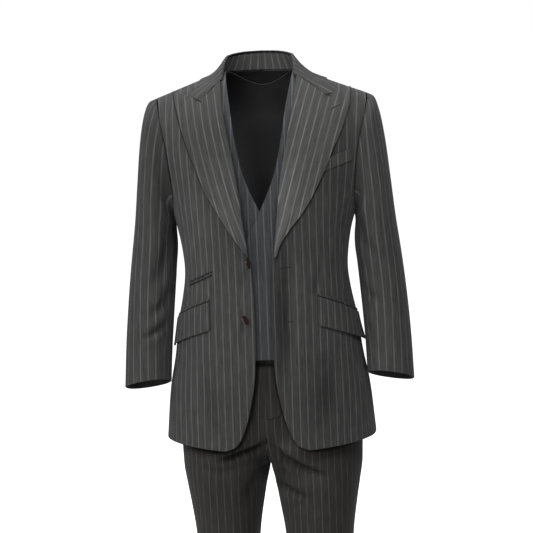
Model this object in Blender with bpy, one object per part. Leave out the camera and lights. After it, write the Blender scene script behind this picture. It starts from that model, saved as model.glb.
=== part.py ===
"""A worn three-piece suit, hollow: jacket, double-breasted waistcoat and trousers, each cut as its pieces.

Metres. x runs across the wearer, -y is the front and z is up. z = 0 is the base of the neck, between the
shoulder seams. The side of +x is built first, and the other side is its mirror, apart from what only one
side has: the overlap of the waistcoat, the ticket pocket, the breast welt and the buttons.
"""

import math

import bpy
import bmesh
from mathutils import Matrix, Vector

# Walls and gaps
CLOTH = 0.002  # suiting with its canvas or pocketing
LAPEL_CLOTH = 0.0026  # a lapel and a flap are two layers
SEAM = 0.0004  # between two pieces sewn together
REST = 0.0011  # between a panel and what lies on it
SEAM_TURN = 0.13  # the same gap on a panel's edge, in degrees round the body
SEAM_ANGLE = 0.15  # the same gap round a sleeve
NORMAL_STEP = 0.0004  # the share of a panel over which its direction is taken

# The shoulders: one straight ridge from the neck to the sleeve
RIDGE_TOP = 0.028
RIDGE_SLOPE = 0.386
RIDGE_SOFTNESS = 0.02
SHOULDER_ROUNDING = 0.12
SHOULDER_TURN = 55.0  # how far the last level line is round from the ridge, in degrees
SQUARENESS = 2.4
NECK_X = 0.085
SHOULDER_X = 0.213

# The jacket
PIT_Z = -0.285
ARMPIT_GAP = 0.0038  # the side panel stops this far below the sleeve at the armpit
JOIN_Z = -0.262  # where the side panel's seams meet the armhole
HEM_Z = -0.752
BACK_SEAM_SHARE = 0.86  # where the back's side seam runs at the hem, as a share of the width
SIDE_TOP = (0.8, 1.0)  # the side panel's lines turn to the armhole between these shares
SEAM_SETTLE = 0.12  # the side seams leave the armhole's foot over this height
FRONT_TURN = 66.0  # how far round the body the front and the back reach, for spacing their lines
BACK_TURN = 57.0
BACK_UPPER = 0.62  # the share of the back's lines that lie below the armhole's foot
BACK_NECK = 0.90  # and the share below the nape
BACK_NECK_POWER = 1.6  # how the back neckline rises to the shoulder
BLADE_SHARES = (0.36, 0.7, 0.88, 1.0)  # the back's lines between the armhole's foot and the nape
SHOULDER_STEPS = 4
NAPE_DROP = 0.026  # from the top of the ridge to the back neckline
BLADE_RISE = 0.020  # how much higher the back's level lines are at its centre
BLADE_Z = -0.107  # where the line through the nape ends at the armhole
LAPEL_REST = 0.0029  # how far the lapel lies off the front
LAPEL_ROLL = 0.003  # how much more it swells beside its roll
LAPEL_ROLL_REACH = 0.5  # the share of its width over which it swells
LAPEL_FOOT = (0.0, 0.25)  # the swelling grows from the foot up between these shares
LAPEL_LIFT = (0.0, 0.12)  # it leaves the front between these shares of its width
RIGHT_PEAK_INSET = 0.006  # the wearer's right peak is this much shorter
LAPEL_COLUMNS = (0.0, 0.16, 0.32, 0.48, 0.74, 1.0)  # the notch falls on one
LAPEL_LINES = (0.0, 0.1, 0.2, 0.3, 0.4, 0.5, 0.6, 0.7, 0.8, 0.87, 0.935, 1.0)
STAND_CLOTH = 0.0015
LEAF_REST = 0.0035  # how far the collar's edge lies off the shoulders
STAND_INSET = 0.0035  # between the fold and the stand's edge
STAND_LEAN = 0.0115  # how far its front ends come in from the neck's width
STAND_REACH = 0.84  # how far round to the gorge it runs
STAND_SHOULDER = 0.68  # where it crosses the shoulder seam
STAND_FRONT_DROP = 0.030  # how far its front ends lie below the ridge

# The sleeves
RIGHT_ARM = Vector((0, 0, -0.010))  # the wearer's right sleeve hangs this much lower
SLEEVE_POWER = 0.93  # 1 would make its rings ellipses
SLEEVE_HEAD = 0.16  # the share of its length in which the rings leave the armhole
SLEEVE_FRONT_SEAM = -128.0
SLEEVE_BACK_SEAM = 122.0
SLEEVE_ROWS = (0.0, 0.03, 0.075, 0.14, 0.22, 0.32, 0.42, 0.52, 0.62, 0.72, 0.82, 0.91, 1.0)
UNDER_COLUMNS = (0.0, 0.19, 0.29, 0.53, 0.76, 0.86, 1.0)  # the armhole's seams and the armpit fall on these

# Pockets
FLAP_START_X = 0.108
FLAP_TOP_Z = -0.452
FLAP_END_TURN = 92.0
FLAP_SLANT = 0.052
FLAP_HEIGHT = 0.058
FLAP_SWING = 0.006  # how far its lower edge stands off at the back
FLAP_FRONT_SWING = 0.15  # the share of that at its front end
JET_HEIGHT = 0.005
TICKET = {"start_x": 0.101, "end_x": 0.152, "start_z": -0.396, "end_z": -0.4225, "height": 0.008}
WELT = {"start_x": 0.083, "end_x": 0.176, "start_z": -0.196, "end_z": -0.158, "height": 0.024}

# Buttons
FRONT_BUTTON = {"radius": 0.0105, "thickness": 0.0034}
WAISTCOAT_BUTTON = {"radius": 0.0075, "thickness": 0.0026}
BUTTON_SIDES = 16
BUTTON_FOOT = 0.86  # the lower face's radius as a share of the upper one's
BUTTON_RIM = 0.2  # the rim's width as a share of the radius
BUTTON_DISH = 0.25  # the middle's depth as a share of the thickness
UPPER_BUTTON = {"x": -0.0270, "z": -0.3800, "tilt": 62.0, "lean": 20.0}
LOWER_BUTTON = {"x": -0.0365, "z": -0.4940, "tilt": 60.0, "lean": 28.0}
WAISTCOAT_BUTTON_X = -0.043
WAISTCOAT_BUTTON_LEVELS = (-0.375, -0.44, -0.505)

# The waistcoat
WAISTCOAT_DROP = 0.0035  # below the jacket's shoulder
WAISTCOAT_NECK_X = 0.068
WAISTCOAT_SHOULDER_X = 0.150
WAISTCOAT_PIT_Z = -0.30
WAISTCOAT_NAPE_Z = -0.036
WAISTCOAT_HEM_Z = -0.578
OVERLAP_LIFT = 0.0038
OVERLAP_SPAN = (0.062, 0.110)  # the upper front comes down to the body's form between these
OVERLAP_TOP = (-0.26, -0.20)  # and between these heights, above the crossing
WAISTCOAT_BACK_COLUMNS = (0.0, 0.15, 0.3, 0.48, 0.66, 0.83, 1.0)  # the neck's corner falls on the fourth

# The trousers
WAIST_Z = -0.500
BAND_HEIGHT = 0.038
CROTCH_Z = -0.811
FORK_TOP_Z = -0.690  # the centre seams leave the vertical here
FORK_SHIFT = -0.005
FORK_REACH = 0.4  # how far across a panel the fork's curve is felt
HEM_FRONT_Z = -1.574
HEM_BACK_Z = -1.590
LEG_SQUARENESS = 2.15
FLY_WIDTH = 0.036
FLY_END_Z = -0.700
FLY_REST = 0.0007
FLY_CURVE = 0.2  # the share of its height in which its foot rounds to the seam
FLY_FOOT = 0.004
FLY_INSET = 0.0006
TROUSER_FORK = 0.66  # the share of the trousers' lines below the fork
TROUSER_ROWS = (0.0, 0.14, 0.28, 0.40, 0.50, 0.59, TROUSER_FORK, 0.668, 0.69, 0.73, 0.80, 0.90, 1.0)
STANCE_LEVELS = (0.60, 0.80)  # the shift grows down to the fork between these depths
STANCE_WIDTH = 0.18  # and fades out to the side


def table(columns, *rows):
    """Rows of numbers under named columns. The first column rises, and the others are read against it."""
    return {"columns": columns.split(), "rows": sorted(rows)}


def read(source, at, name):
    """A column's value where the first column is `at`, on a smooth curve through the rows."""
    rows, k = source["rows"], source["columns"].index(name)
    at = min(max(at, rows[0][0]), rows[-1][0])
    i = max(j for j in range(len(rows) - 1) if rows[j][0] <= at)
    span = rows[i + 1][0] - rows[i][0]
    t = (at - rows[i][0]) / span

    def slope(j):
        before, after = rows[max(j - 1, 0)], rows[min(j + 1, len(rows) - 1)]
        return (after[k] - before[k]) / (after[0] - before[0])

    return (
        rows[i][k] * (2 * t**3 - 3 * t**2 + 1)
        + rows[i + 1][k] * (3 * t**2 - 2 * t**3)
        + slope(i) * span * (t**3 - 2 * t**2 + t)
        + slope(i + 1) * span * (t**3 - t**2)
    )


def mix(a, b, share):
    return a + (b - a) * share


def ease(value, low, high):
    """0 below low, 1 above high and a soft step between them."""
    t = min(max((value - low) / (high - low), 0.0), 1.0)
    return t * t * (3 - 2 * t)


# How far each garment's outer face is from the middle of the body, level by level
JACKET_LEVELS = table(
    "z width front back",
    (0.060, 0.242, 0.078, 0.088),
    (-0.040, 0.240, 0.096, 0.106),
    (-0.100, 0.235, 0.114, 0.121),
    (-0.160, 0.224, 0.130, 0.130),
    (-0.220, 0.203, 0.139, 0.129),
    (-0.300, 0.182, 0.140, 0.117),
    (-0.360, 0.1705, 0.132, 0.103),
    (-0.410, 0.1670, 0.125, 0.097),
    (-0.460, 0.1735, 0.124, 0.102),
    (-0.510, 0.1840, 0.126, 0.112),
    (-0.580, 0.1930, 0.130, 0.124),
    (-0.650, 0.2060, 0.134, 0.131),
    (-0.760, 0.2170, 0.139, 0.137),
)
WAISTCOAT_LEVELS = table(
    "z width front back",
    (0.060, 0.230, 0.071, 0.078),
    (-0.040, 0.228, 0.090, 0.096),
    (-0.100, 0.223, 0.108, 0.110),
    (-0.160, 0.212, 0.122, 0.119),
    (-0.220, 0.190, 0.128, 0.118),
    (-0.300, 0.168, 0.126, 0.106),
    (-0.360, 0.156, 0.119, 0.092),
    (-0.410, 0.151, 0.113, 0.084),
    (-0.460, 0.1515, 0.1115, 0.0845),
    (-0.510, 0.1575, 0.1115, 0.0915),
    (-0.580, 0.1730, 0.1135, 0.1090),
)
HIP_LEVELS = table(
    "z width front back",
    (-0.500, 0.1505, 0.1032, 0.0845),
    (-0.540, 0.1587, 0.1050, 0.0943),
    (-0.580, 0.1690, 0.1070, 0.1045),
    (-0.640, 0.1810, 0.1090, 0.1180),
    (-0.700, 0.1870, 0.1090, 0.1240),
    (-0.760, 0.1885, 0.1060, 0.1230),
    (-0.811, 0.1860, 0.1010, 0.1170),
)
# One leg's level sections
LEG_LEVELS = table(
    "z inner outer front back",
    (-0.690, 0.0002, 0.187, -0.108, 0.120),
    (-0.811, 0.0004, 0.186, -0.100, 0.114),
    (-0.853, 0.0095, 0.180, -0.097, 0.107),
    (-0.896, 0.0165, 0.173, -0.093, 0.100),
    (-0.957, 0.0260, 0.1645, -0.089, 0.090),
    (-1.050, 0.0330, 0.158, -0.085, 0.078),
    (-1.170, 0.0355, 0.154, -0.083, 0.068),
    (-1.350, 0.0360, 0.152, -0.074, 0.072),
    (-1.590, 0.0365, 0.151, -0.066, 0.074),
)

# The jacket front's level lines: where each starts, on the front edge or the lapel's roll, and the height
# at which it meets the side seam or the armhole
FRONT_ROWS = table(
    "row edge_x edge_z seam_z",
    (0, 0.0860, -0.7610, HEM_Z),
    (1, 0.0620, -0.7500, -0.728),
    (2, 0.0465, -0.7230, -0.700),
    (3, 0.0330, -0.6800, -0.662),
    (4, 0.0220, -0.6200, -0.610),
    (5, 0.0180, -0.5600, -0.555),
    (6, 0.0175, -0.5000, -0.500),
    (7, 0.0185, -0.4400, -0.442),
    (8, 0.0200, -0.4120, -0.413),
    (9, 0.0225, -0.3850, -0.385),
    (10, 0.0300, -0.3280, -0.328),
    (11, 0.0380, -0.2650, JOIN_Z),
    (12, 0.0455, -0.2130, -0.226),
    (13, 0.0560, -0.1600, -0.183),
    (14, 0.0660, -0.1080, -0.137),
    (15, 0.0735, -0.0600, -0.096),
)
# How far the armhole curves inwards from the straight line between the shoulder and the armpit
ARMHOLE = table(
    "down front back",
    (0.0, 0.0, 0.0),
    (0.2, 0.0080, 0.0070),
    (0.45, 0.0145, 0.0120),
    (0.65, 0.0140, 0.0120),
    (0.82, 0.0120, 0.0110),
    (0.93, 0.0085, 0.0085),
    (1.0, 0.0, 0.0),
)
# The lapel's roll and its outer edge, for the wearer's left (+x) and right
LAPEL_ROWS = table(
    "row roll_x roll_z left_x left_z right_x right_z",
    (0, 0.0245, -0.3670, 0.0310, -0.3640, 0.0275, -0.3645),
    (1, 0.0260, -0.3530, 0.0400, -0.3390, 0.0470, -0.3340),
    (2, 0.0290, -0.3280, 0.0600, -0.3090, 0.0640, -0.3080),
    (3, 0.0345, -0.2850, 0.0850, -0.2780, 0.0800, -0.2800),
    (4, 0.0395, -0.2400, 0.1080, -0.2400, 0.1010, -0.2430),
    (5, 0.0460, -0.1950, 0.1280, -0.2000, 0.1190, -0.2000),
    (6, 0.0545, -0.1500, 0.1460, -0.1580, 0.1350, -0.1590),
    (7, 0.0625, -0.1080, 0.1610, -0.1240, 0.1480, -0.1240),
    (8, 0.0690, -0.0720, 0.1700, -0.0970, 0.1570, -0.0970),
    (9, 0.0725, -0.0440, 0.1765, -0.0740, 0.1645, -0.0740),
)
# The lapel's upper end, from the roll along the gorge to the notch and out to the peak
LAPEL_TOP = table(
    "share x z",
    (0.0, 0.0757, -0.0165),
    (0.24, 0.0985, -0.0350),
    (0.48, 0.1240, -0.0563),
    (0.74, 0.1500, -0.0485),
    (1.0, 0.1800, -0.0425),
)
# The collar from the centre back (0) to the gorge (1). The leaf's edge is given by x and by its drop below
# the shoulder's ridge, which is negative in front of it
COLLAR = table(
    "along fold_x fold_y fold_z edge_x edge_drop hollow",
    (0.00, 0.0000, 0.0660, 0.0310, 0.0000, 0.0400, 0.002),
    (0.25, 0.0380, 0.0560, 0.0300, 0.0540, 0.0310, 0.003),
    (0.50, 0.0640, 0.0280, 0.0265, 0.0970, 0.0160, 0.005),
    (0.68, 0.0700, 0.0000, 0.0215, 0.1210, 0.0040, 0.006),
    (0.80, 0.0725, -0.0180, 0.0110, 0.1360, -0.0020, 0.005),
    (0.92, 0.0740, -0.0350, -0.0045, 0.1480, -0.0140, 0.0015),
    (1.00, 0.0750, -0.0430, -0.0120, 0.1240, -0.0272, 0.0),
)
# One sleeve's sections, each a ring through its outer and its inner point, tilted down at the back
SLEEVE = table(
    "along outer_x outer_z inner_x inner_z middle_y depth tilt",
    (0.00, 0.2130, -0.0560, 0.1860, -0.2850, 0.000, 0.083, 0.0),
    (0.06, 0.2285, -0.0640, 0.1880, -0.2920, 0.001, 0.082, 0.0),
    (0.14, 0.2380, -0.0920, 0.1880, -0.3060, 0.001, 0.080, 0.0),
    (0.26, 0.2480, -0.1500, 0.1850, -0.3310, 0.002, 0.076, 0.0),
    (0.40, 0.2565, -0.2250, 0.1845, -0.3640, 0.004, 0.072, 0.0),
    (0.54, 0.2650, -0.3050, 0.1880, -0.3980, 0.005, 0.068, 2.0),
    (0.68, 0.2770, -0.3950, 0.1925, -0.4480, 0.002, 0.064, 6.0),
    (0.80, 0.2855, -0.4750, 0.1970, -0.5020, -0.006, 0.060, 11.0),
    (0.90, 0.2915, -0.5500, 0.2010, -0.5580, -0.018, 0.056, 15.0),
    (1.00, 0.2955, -0.6270, 0.2040, -0.6220, -0.034, 0.053, 18.0),
)
# The waistcoat front's level lines, from the neckline and front edge to the armhole and side seam
WAISTCOAT_ROWS = table(
    "row edge_x edge_z outer_share outer_z",
    (0, -0.0550, WAISTCOAT_HEM_Z, 1.0, WAISTCOAT_HEM_Z),
    (1, -0.0550, -0.5200, 1.0, -0.5150),
    (2, -0.0550, -0.4550, 1.0, -0.4550),
    (3, -0.0540, -0.3900, 1.0, -0.3950),
    (4, -0.0300, -0.3350, 1.0, -0.3400),
    (5, 0.0030, -0.2700, 0.972, WAISTCOAT_PIT_Z),
    (6, 0.0300, -0.2050, 0.840, -0.2500),
    (7, 0.0450, -0.1400, 0.700, -0.1800),
    (8, 0.0560, -0.0680, 0.655, -0.1100),
)
WAISTCOAT_BACK_ROWS = table(
    "row middle_z outer_share outer_z",
    (0, -0.5680, 1.0, WAISTCOAT_HEM_Z),
    (1, -0.5100, 1.0, -0.5150),
    (2, -0.4500, 1.0, -0.4550),
    (3, -0.3900, 1.0, -0.3950),
    (4, -0.3300, 1.0, -0.3400),
    (5, -0.2600, 0.972, WAISTCOAT_PIT_Z),
    (6, -0.1950, 0.850, -0.2500),
    (7, -0.1350, 0.730, -0.1800),
    (8, -0.0850, 0.680, -0.1100),
)

FABRIC = {"colour": (0.060, 0.060, 0.062), "roughness": 0.85}
LOOKS = {
    "jacket_cloth": FABRIC,
    "waistcoat_cloth": {"colour": (0.052, 0.054, 0.060), "roughness": 0.85},
    "trouser_cloth": {"colour": (0.048, 0.046, 0.044), "roughness": 0.85},
    "button_horn": {"colour": (0.022, 0.012, 0.008), "roughness": 0.35},
}


class Form:
    """A body's shape: at each level a rounded section, closed over the shoulders along one ridge."""

    def __init__(self, levels, drop=0.0):
        self.levels = levels
        self.drop = drop

    def ridge(self, x):
        return RIDGE_TOP - self.drop - RIDGE_SLOPE * math.hypot(x, RIDGE_SOFTNESS)

    def width(self, z):
        return read(self.levels, z, "width")

    def at(self, x, z, face):
        """The point at x and z, on the front (face -1) or on the back (face 1)."""
        reach = read(self.levels, z, "front" if face < 0 else "back")
        across = min(abs(x) / self.width(z), 1.0)
        below = min(max(self.ridge(x) - z, 0.0) / SHOULDER_ROUNDING, 1.0)
        curve = (1 - across**SQUARENESS) ** (1 / SQUARENESS)
        return Vector((x, face * (SEAM / 2 + reach * curve * math.sqrt(1 - (1 - below) ** 2)), z))

    def over(self, x, drop):
        """The point at x, this far below the ridge: on the back, or on the front where drop is negative."""
        return self.at(x, self.ridge(x) - max(abs(drop), SEAM), math.copysign(1, drop))

    def round(self, turn, z):
        """The point at a turn in degrees: 0 is the centre front, 90 the side, 180 the centre back."""
        x = self.width(z) * abs(math.sin(math.radians(turn))) ** (2 / SQUARENESS)
        return self.at(x, z, -1 if turn < 90 else 1)

    def turn_at(self, x, z):
        """The turn, up to 90, of the point of the front at x and z."""
        across = min(abs(x) / self.width(z), 1.0)
        return math.degrees(math.asin(across ** (SQUARENESS / 2)))


JACKET = Form(JACKET_LEVELS)
WAISTCOAT = Form(WAISTCOAT_LEVELS, WAISTCOAT_DROP)
HIPS = Form(HIP_LEVELS)

SHOULDER_Z = JACKET.ridge(SHOULDER_X)
PIT_JOIN = (SHOULDER_Z - JOIN_Z) / (SHOULDER_Z - PIT_Z)


def spread(u, turn):
    """Steps that get shorter as the panel curves round the body, up to this turn in degrees."""
    return math.sin(math.radians(turn) * u) / math.sin(math.radians(turn))


def below_ridge(steps):
    """Shares of the way up to the ridge, closer together as the form rounds over the shoulder."""
    top = math.radians(SHOULDER_TURN)
    return [1 - (1 - math.cos(top * (1 - k / steps))) / (1 - math.cos(top)) for k in range(1, steps + 1)]


def normal(surface, u, v, reach=NORMAL_STEP):
    """The surface's own direction. reach is how far across it looks."""
    along = surface(min(u + reach, 1), v) - surface(max(u - reach, 0), v)
    up = surface(u, min(v + NORMAL_STEP, 1)) - surface(u, max(v - NORMAL_STEP, 0))
    return along.cross(up).normalized()


def add_object(name, mesh, look):
    mesh.shade_smooth()
    mesh.set_sharp_from_angle(angle=math.radians(50))
    piece = bpy.data.objects.new(name, mesh)
    bpy.context.scene.collection.objects.link(piece)
    mesh.materials.append(MATERIALS[look])
    return piece


def cloth(name, surface, columns, rows, look, facing=1, side=1, faces=(-CLOTH, 0.0), crease=1.0, reach=0.0):
    """A closed wall of cloth between two faces, each this far out from surface(u, v).

    columns and rows are how many steps it has, or the shares at which its lines lie. Each cell is split
    along the same diagonal on both faces, so that a twisted wall keeps its thickness. Above the share
    `crease` of its rows, its first line takes its direction from the whole cell beside it, and a sharply
    bent strip takes its directions over a reach of its own.
    """
    across = [i / columns for i in range(columns + 1)] if isinstance(columns, int) else columns
    upward = [j / rows for j in range(rows + 1)] if isinstance(rows, int) else rows
    mesh = bmesh.new()
    layers = []
    for out in faces:
        layer = []
        for v in upward:
            line = []
            for u in across:
                looks = across[1] if u == 0 and v > crease else max(reach, NORMAL_STEP)
                place = surface(u, v) + facing * normal(surface, u, v, looks) * out
                line.append(mesh.verts.new((side * place.x, place.y, place.z)))
            layer.append(line)
        layers.append(layer)
    last_row, last_column = len(upward) - 1, len(across) - 1
    lower, upper = layers
    for j in range(last_row):
        for i in range(last_column):
            falling = (upper[j + 1][i].co - upper[j][i + 1].co).length
            rising = (upper[j + 1][i + 1].co - upper[j][i].co).length
            for layer in layers:
                a, b, c, d = layer[j][i], layer[j][i + 1], layer[j + 1][i + 1], layer[j + 1][i]
                halves = ((a, b, c), (a, c, d)) if rising < falling else ((a, b, d), (b, c, d))
                for corners in halves:
                    mesh.faces.new(corners)
    for j in range(last_row):
        for i in (0, last_column):
            mesh.faces.new((lower[j][i], lower[j + 1][i], upper[j + 1][i], upper[j][i]))
    for i in range(last_column):
        for j in (0, last_row):
            mesh.faces.new((lower[j][i], lower[j][i + 1], upper[j][i + 1], upper[j][i]))
    bmesh.ops.recalc_face_normals(mesh, faces=mesh.faces)
    data = bpy.data.meshes.new(name)
    mesh.to_mesh(data)
    mesh.free()
    return add_object(name, data, look)


def pair(name, surface, columns, rows, look, **more):
    """The wearer's left piece, on +x, and its mirror."""
    for label, side in (("left", 1), ("right", -1)):
        cloth(f"{name}_{label}", surface, columns, rows, look, side=side, **more)


# ---------------------------------------------------------------- jacket


def armhole(down, face):
    """The armhole's seam, from the shoulder (0) to the armpit (1)."""
    z = mix(SHOULDER_Z, PIT_Z, down)
    inset = read(ARMHOLE, down, "front" if face < 0 else "back")
    x = mix(SHOULDER_X, JACKET.width(PIT_Z), down) - inset
    return JACKET.at(x, z, face)


def seam_share(face):
    """How far across the body the side panel's seam runs, as a share of its width."""
    join = armhole(PIT_JOIN, face)
    return join.x / JACKET.width(join.z)


def outer_edge(z, face, hem_share):
    """The outer edge of a front or back: the side seam, then the armhole."""
    join = armhole(PIT_JOIN, face)
    if z < join.z:
        share = mix(seam_share(face), hem_share, ease(join.z - z, 0.0, SEAM_SETTLE))
        return share * JACKET.width(z) - SEAM / 2
    return armhole((SHOULDER_Z - z) / (SHOULDER_Z - PIT_Z), face).x - SEAM / 2


def jacket_front(u, v):
    """From the front edge and the lapel's roll (u = 0) to the side seam, hem (v = 0) to shoulder."""
    u = spread(u, FRONT_TURN)
    last = len(FRONT_ROWS["rows"])
    row = v * last
    if row < last - 1:
        x0, z0 = read(FRONT_ROWS, row, "edge_x"), read(FRONT_ROWS, row, "edge_z")
        z1 = read(FRONT_ROWS, row, "seam_z")
        x1 = outer_edge(z1, -1, seam_share(-1))
    else:
        low, share = FRONT_ROWS["rows"][-1], row - (last - 1)
        x0, z0 = mix(low[1], NECK_X, share), mix(low[2], JACKET.ridge(NECK_X), share)
        z1 = mix(low[3], SHOULDER_Z, share)
        x1 = outer_edge(z1, -1, seam_share(-1))
    return JACKET.at(mix(x0, x1, u), mix(z0, z1, u), -1)


def jacket_back(u, v):
    """From the centre back (u = 0) to the side seam and the armhole, hem (v = 0) to shoulder."""
    u = spread(u, BACK_TURN)
    nape = JACKET.ridge(0) - NAPE_DROP
    if v < BACK_UPPER:
        z0 = mix(HEM_Z, JOIN_Z + BLADE_RISE, v / BACK_UPPER)
        z1 = mix(HEM_Z, JOIN_Z, v / BACK_UPPER)
        x0 = SEAM / 2
    elif v < BACK_NECK:
        share = (v - BACK_UPPER) / (BACK_NECK - BACK_UPPER)
        z0 = mix(JOIN_Z + BLADE_RISE, nape, share)
        z1 = mix(JOIN_Z, BLADE_Z, share)
        x0 = SEAM / 2
    else:
        share = (v - BACK_NECK) / (1 - BACK_NECK)
        x0 = mix(SEAM / 2, NECK_X, share)
        z0 = mix(nape, JACKET.ridge(NECK_X), share**BACK_NECK_POWER)
        z1 = mix(BLADE_Z, SHOULDER_Z, share)
    x1 = outer_edge(z1, 1, BACK_SEAM_SHARE)
    return JACKET.at(mix(x0, x1, u), mix(z0, z1, u), 1)


def jacket_side(u, v):
    """Round the side from the front seam (u = 0) to the back seam, hem to armhole."""
    face = -1 if u < 0.5 else 1
    upper = armhole(mix(PIT_JOIN, 1, 1 - abs(2 * u - 1)), face)
    upper_turn = JACKET.turn_at(upper.x, upper.z)
    z = mix(HEM_Z, upper.z - ARMPIT_GAP * (1 - abs(2 * u - 1)), v)
    front_turn = JACKET.turn_at(seam_share(-1) * JACKET.width(z), z) + SEAM_TURN
    back_share = mix(seam_share(1), BACK_SEAM_SHARE, ease(upper.z - z, 0.0, SEAM_SETTLE))
    back_turn = 180 - JACKET.turn_at(back_share * JACKET.width(z), z) - SEAM_TURN
    top_turn = (upper_turn if face < 0 else 180 - upper_turn) + SEAM_TURN * (1 - 2 * u)
    return JACKET.round(mix(mix(front_turn, back_turn, u), top_turn, ease(v, *SIDE_TOP)), z)


def lapel(hand):
    """A lapel's lower face, from the roll (u = 0) to the outer edge, foot (v = 0) to gorge and peak."""

    def surface(u, v):
        last = len(LAPEL_ROWS["rows"])
        row = v * last
        if row < last - 1:
            x0, z0 = read(LAPEL_ROWS, row, "roll_x"), read(LAPEL_ROWS, row, "roll_z")
            x1, z1 = read(LAPEL_ROWS, row, f"{hand}_x"), read(LAPEL_ROWS, row, f"{hand}_z")
            x, z = mix(x0, x1, u), mix(z0, z1, u)
        else:
            share = row - (last - 1)
            low = LAPEL_ROWS["rows"][-1]
            k = LAPEL_ROWS["columns"].index(f"{hand}_x")
            top_x = read(LAPEL_TOP, u, "x") - (RIGHT_PEAK_INSET * u if hand == "right" else 0)
            x = mix(mix(low[1], low[k], u), top_x, share)
            z = mix(mix(low[2], low[k + 1], u), read(LAPEL_TOP, u, "z"), share)
        on_front = JACKET.at(x, z, -1)
        roll = LAPEL_ROLL * math.sin(math.pi * min(u / LAPEL_ROLL_REACH, 1.0)) * ease(v, *LAPEL_FOOT)
        lift = SEAM + (LAPEL_REST - SEAM) * ease(u, *LAPEL_LIFT) + roll
        return on_front + form_normal(JACKET, x, z, -1) * lift

    return surface


def form_normal(form, x, z, face):
    """The form's outward direction at a point of its front or back."""
    step = 0.0006
    z = min(z, form.ridge(x) - step)
    across = form.at(x + step, z, face) - form.at(x - step, z, face)
    up = form.at(x, z + step / 2, face) - form.at(x, z - step, face)
    return (-face) * across.cross(up).normalized()


def collar_leaf(u, v):
    """The collar's outer leaf: u runs from gorge to gorge round the back, v from the fold to its edge."""
    hand = math.copysign(1, u - 0.5)
    along = abs(2 * u - 1)
    fold = Vector([read(COLLAR, along, f"fold_{axis}") for axis in "xyz"])
    edge_x, drop = read(COLLAR, along, "edge_x"), read(COLLAR, along, "edge_drop")
    edge = JACKET.over(edge_x, drop)
    out = form_normal(JACKET, edge_x, edge.z, math.copysign(1, drop))
    edge += out * (CLOTH + LEAF_REST)
    place = mix(fold, edge, v)
    place.z -= read(COLLAR, along, "hollow") * math.sin(math.pi * v)
    return Vector((hand * place.x, place.y, place.z))


def collar_stand(u, v):
    """The collar's stand, from the neckline (v = 0) to just under the fold."""
    hand = math.copysign(1, u - 0.5)
    along = abs(2 * u - 1) * STAND_REACH
    fold = Vector([read(COLLAR, along, f"fold_{axis}") for axis in "xyz"])
    inward = Vector((-fold.x, -fold.y, 0)).normalized()
    top = fold + inward * STAND_INSET - Vector((0, 0, STAND_INSET))
    share = math.sin(math.pi / 2 * min(along / STAND_SHOULDER, 1.0))
    before = ease(along, STAND_SHOULDER, 1.0)
    neckline = mix(JACKET.ridge(0) - NAPE_DROP, JACKET.ridge(NECK_X), share**BACK_NECK_POWER)
    drop = JACKET.ridge(NECK_X * share) - neckline - STAND_FRONT_DROP * before
    foot = JACKET.over(NECK_X * share - STAND_LEAN * before, drop)
    foot += inward * STAND_INSET + Vector((0, 0, SEAM))
    place = mix(foot, top, v)
    return Vector((hand * place.x, place.y, place.z))


def sleeve(side, from_angle, to_angle):
    """A strip of the sleeve between two angles: 0 is its outer side, -90 its front, 90 its back."""

    def ring(angle, along):
        outer = Vector((read(SLEEVE, along, "outer_x"), 0, read(SLEEVE, along, "outer_z")))
        inner = Vector((read(SLEEVE, along, "inner_x"), 0, read(SLEEVE, along, "inner_z")))
        tilt = math.radians(read(SLEEVE, along, "tilt"))
        backward = Vector((0, math.cos(tilt), -math.sin(tilt))) * read(SLEEVE, along, "depth")
        middle = (outer + inner) / 2 + Vector((0, read(SLEEVE, along, "middle_y"), 0))
        turn = math.radians(angle)
        across = math.copysign(abs(math.cos(turn)) ** SLEEVE_POWER, math.cos(turn))
        deep = math.copysign(abs(math.sin(turn)) ** SLEEVE_POWER, math.sin(turn))
        place = middle + (outer - inner) / 2 * across + backward * deep
        return place + RIGHT_ARM * along**2 if side < 0 else place

    def seam(angle):
        down = (1 - math.cos(math.radians(angle))) / 2
        return armhole(down, -1 if angle < 0 else 1) + Vector((SEAM, 0, 0))

    def surface(u, v):
        angle = mix(from_angle, to_angle, u)
        wrapped = angle if angle <= 180 else angle - 360
        fading = max(1 - v / SLEEVE_HEAD, 0.0) ** 2
        return ring(wrapped, v) + (seam(wrapped) - ring(wrapped, 0)) * fading

    return surface


def pocket_strip(height, top_gap, swing):
    """A strip along the slanted pocket mouth, from its front end (u = 0), top (v = 0) to bottom."""
    start = JACKET.turn_at(FLAP_START_X, FLAP_TOP_Z)

    def surface(u, v):
        turn = mix(start, FLAP_END_TURN, u)
        z = FLAP_TOP_Z - FLAP_SLANT * u + top_gap - height * v
        place = JACKET.round(turn, z)
        flat = Vector((place.x, place.y, 0)).normalized()
        return place + flat * (REST + swing * mix(FLAP_FRONT_SWING, 1.0, u) * v * v)

    return surface


def short_strip(spec):
    """A narrow strip on the jacket's front between two points, such as a welt or a jetting."""

    def surface(u, v):
        x = mix(spec["start_x"], spec["end_x"], u)
        z = mix(spec["start_z"], spec["end_z"], u) - spec["height"] * v
        return JACKET.at(x, z, -1) + form_normal(JACKET, x, z, -1) * REST

    return surface


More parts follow.
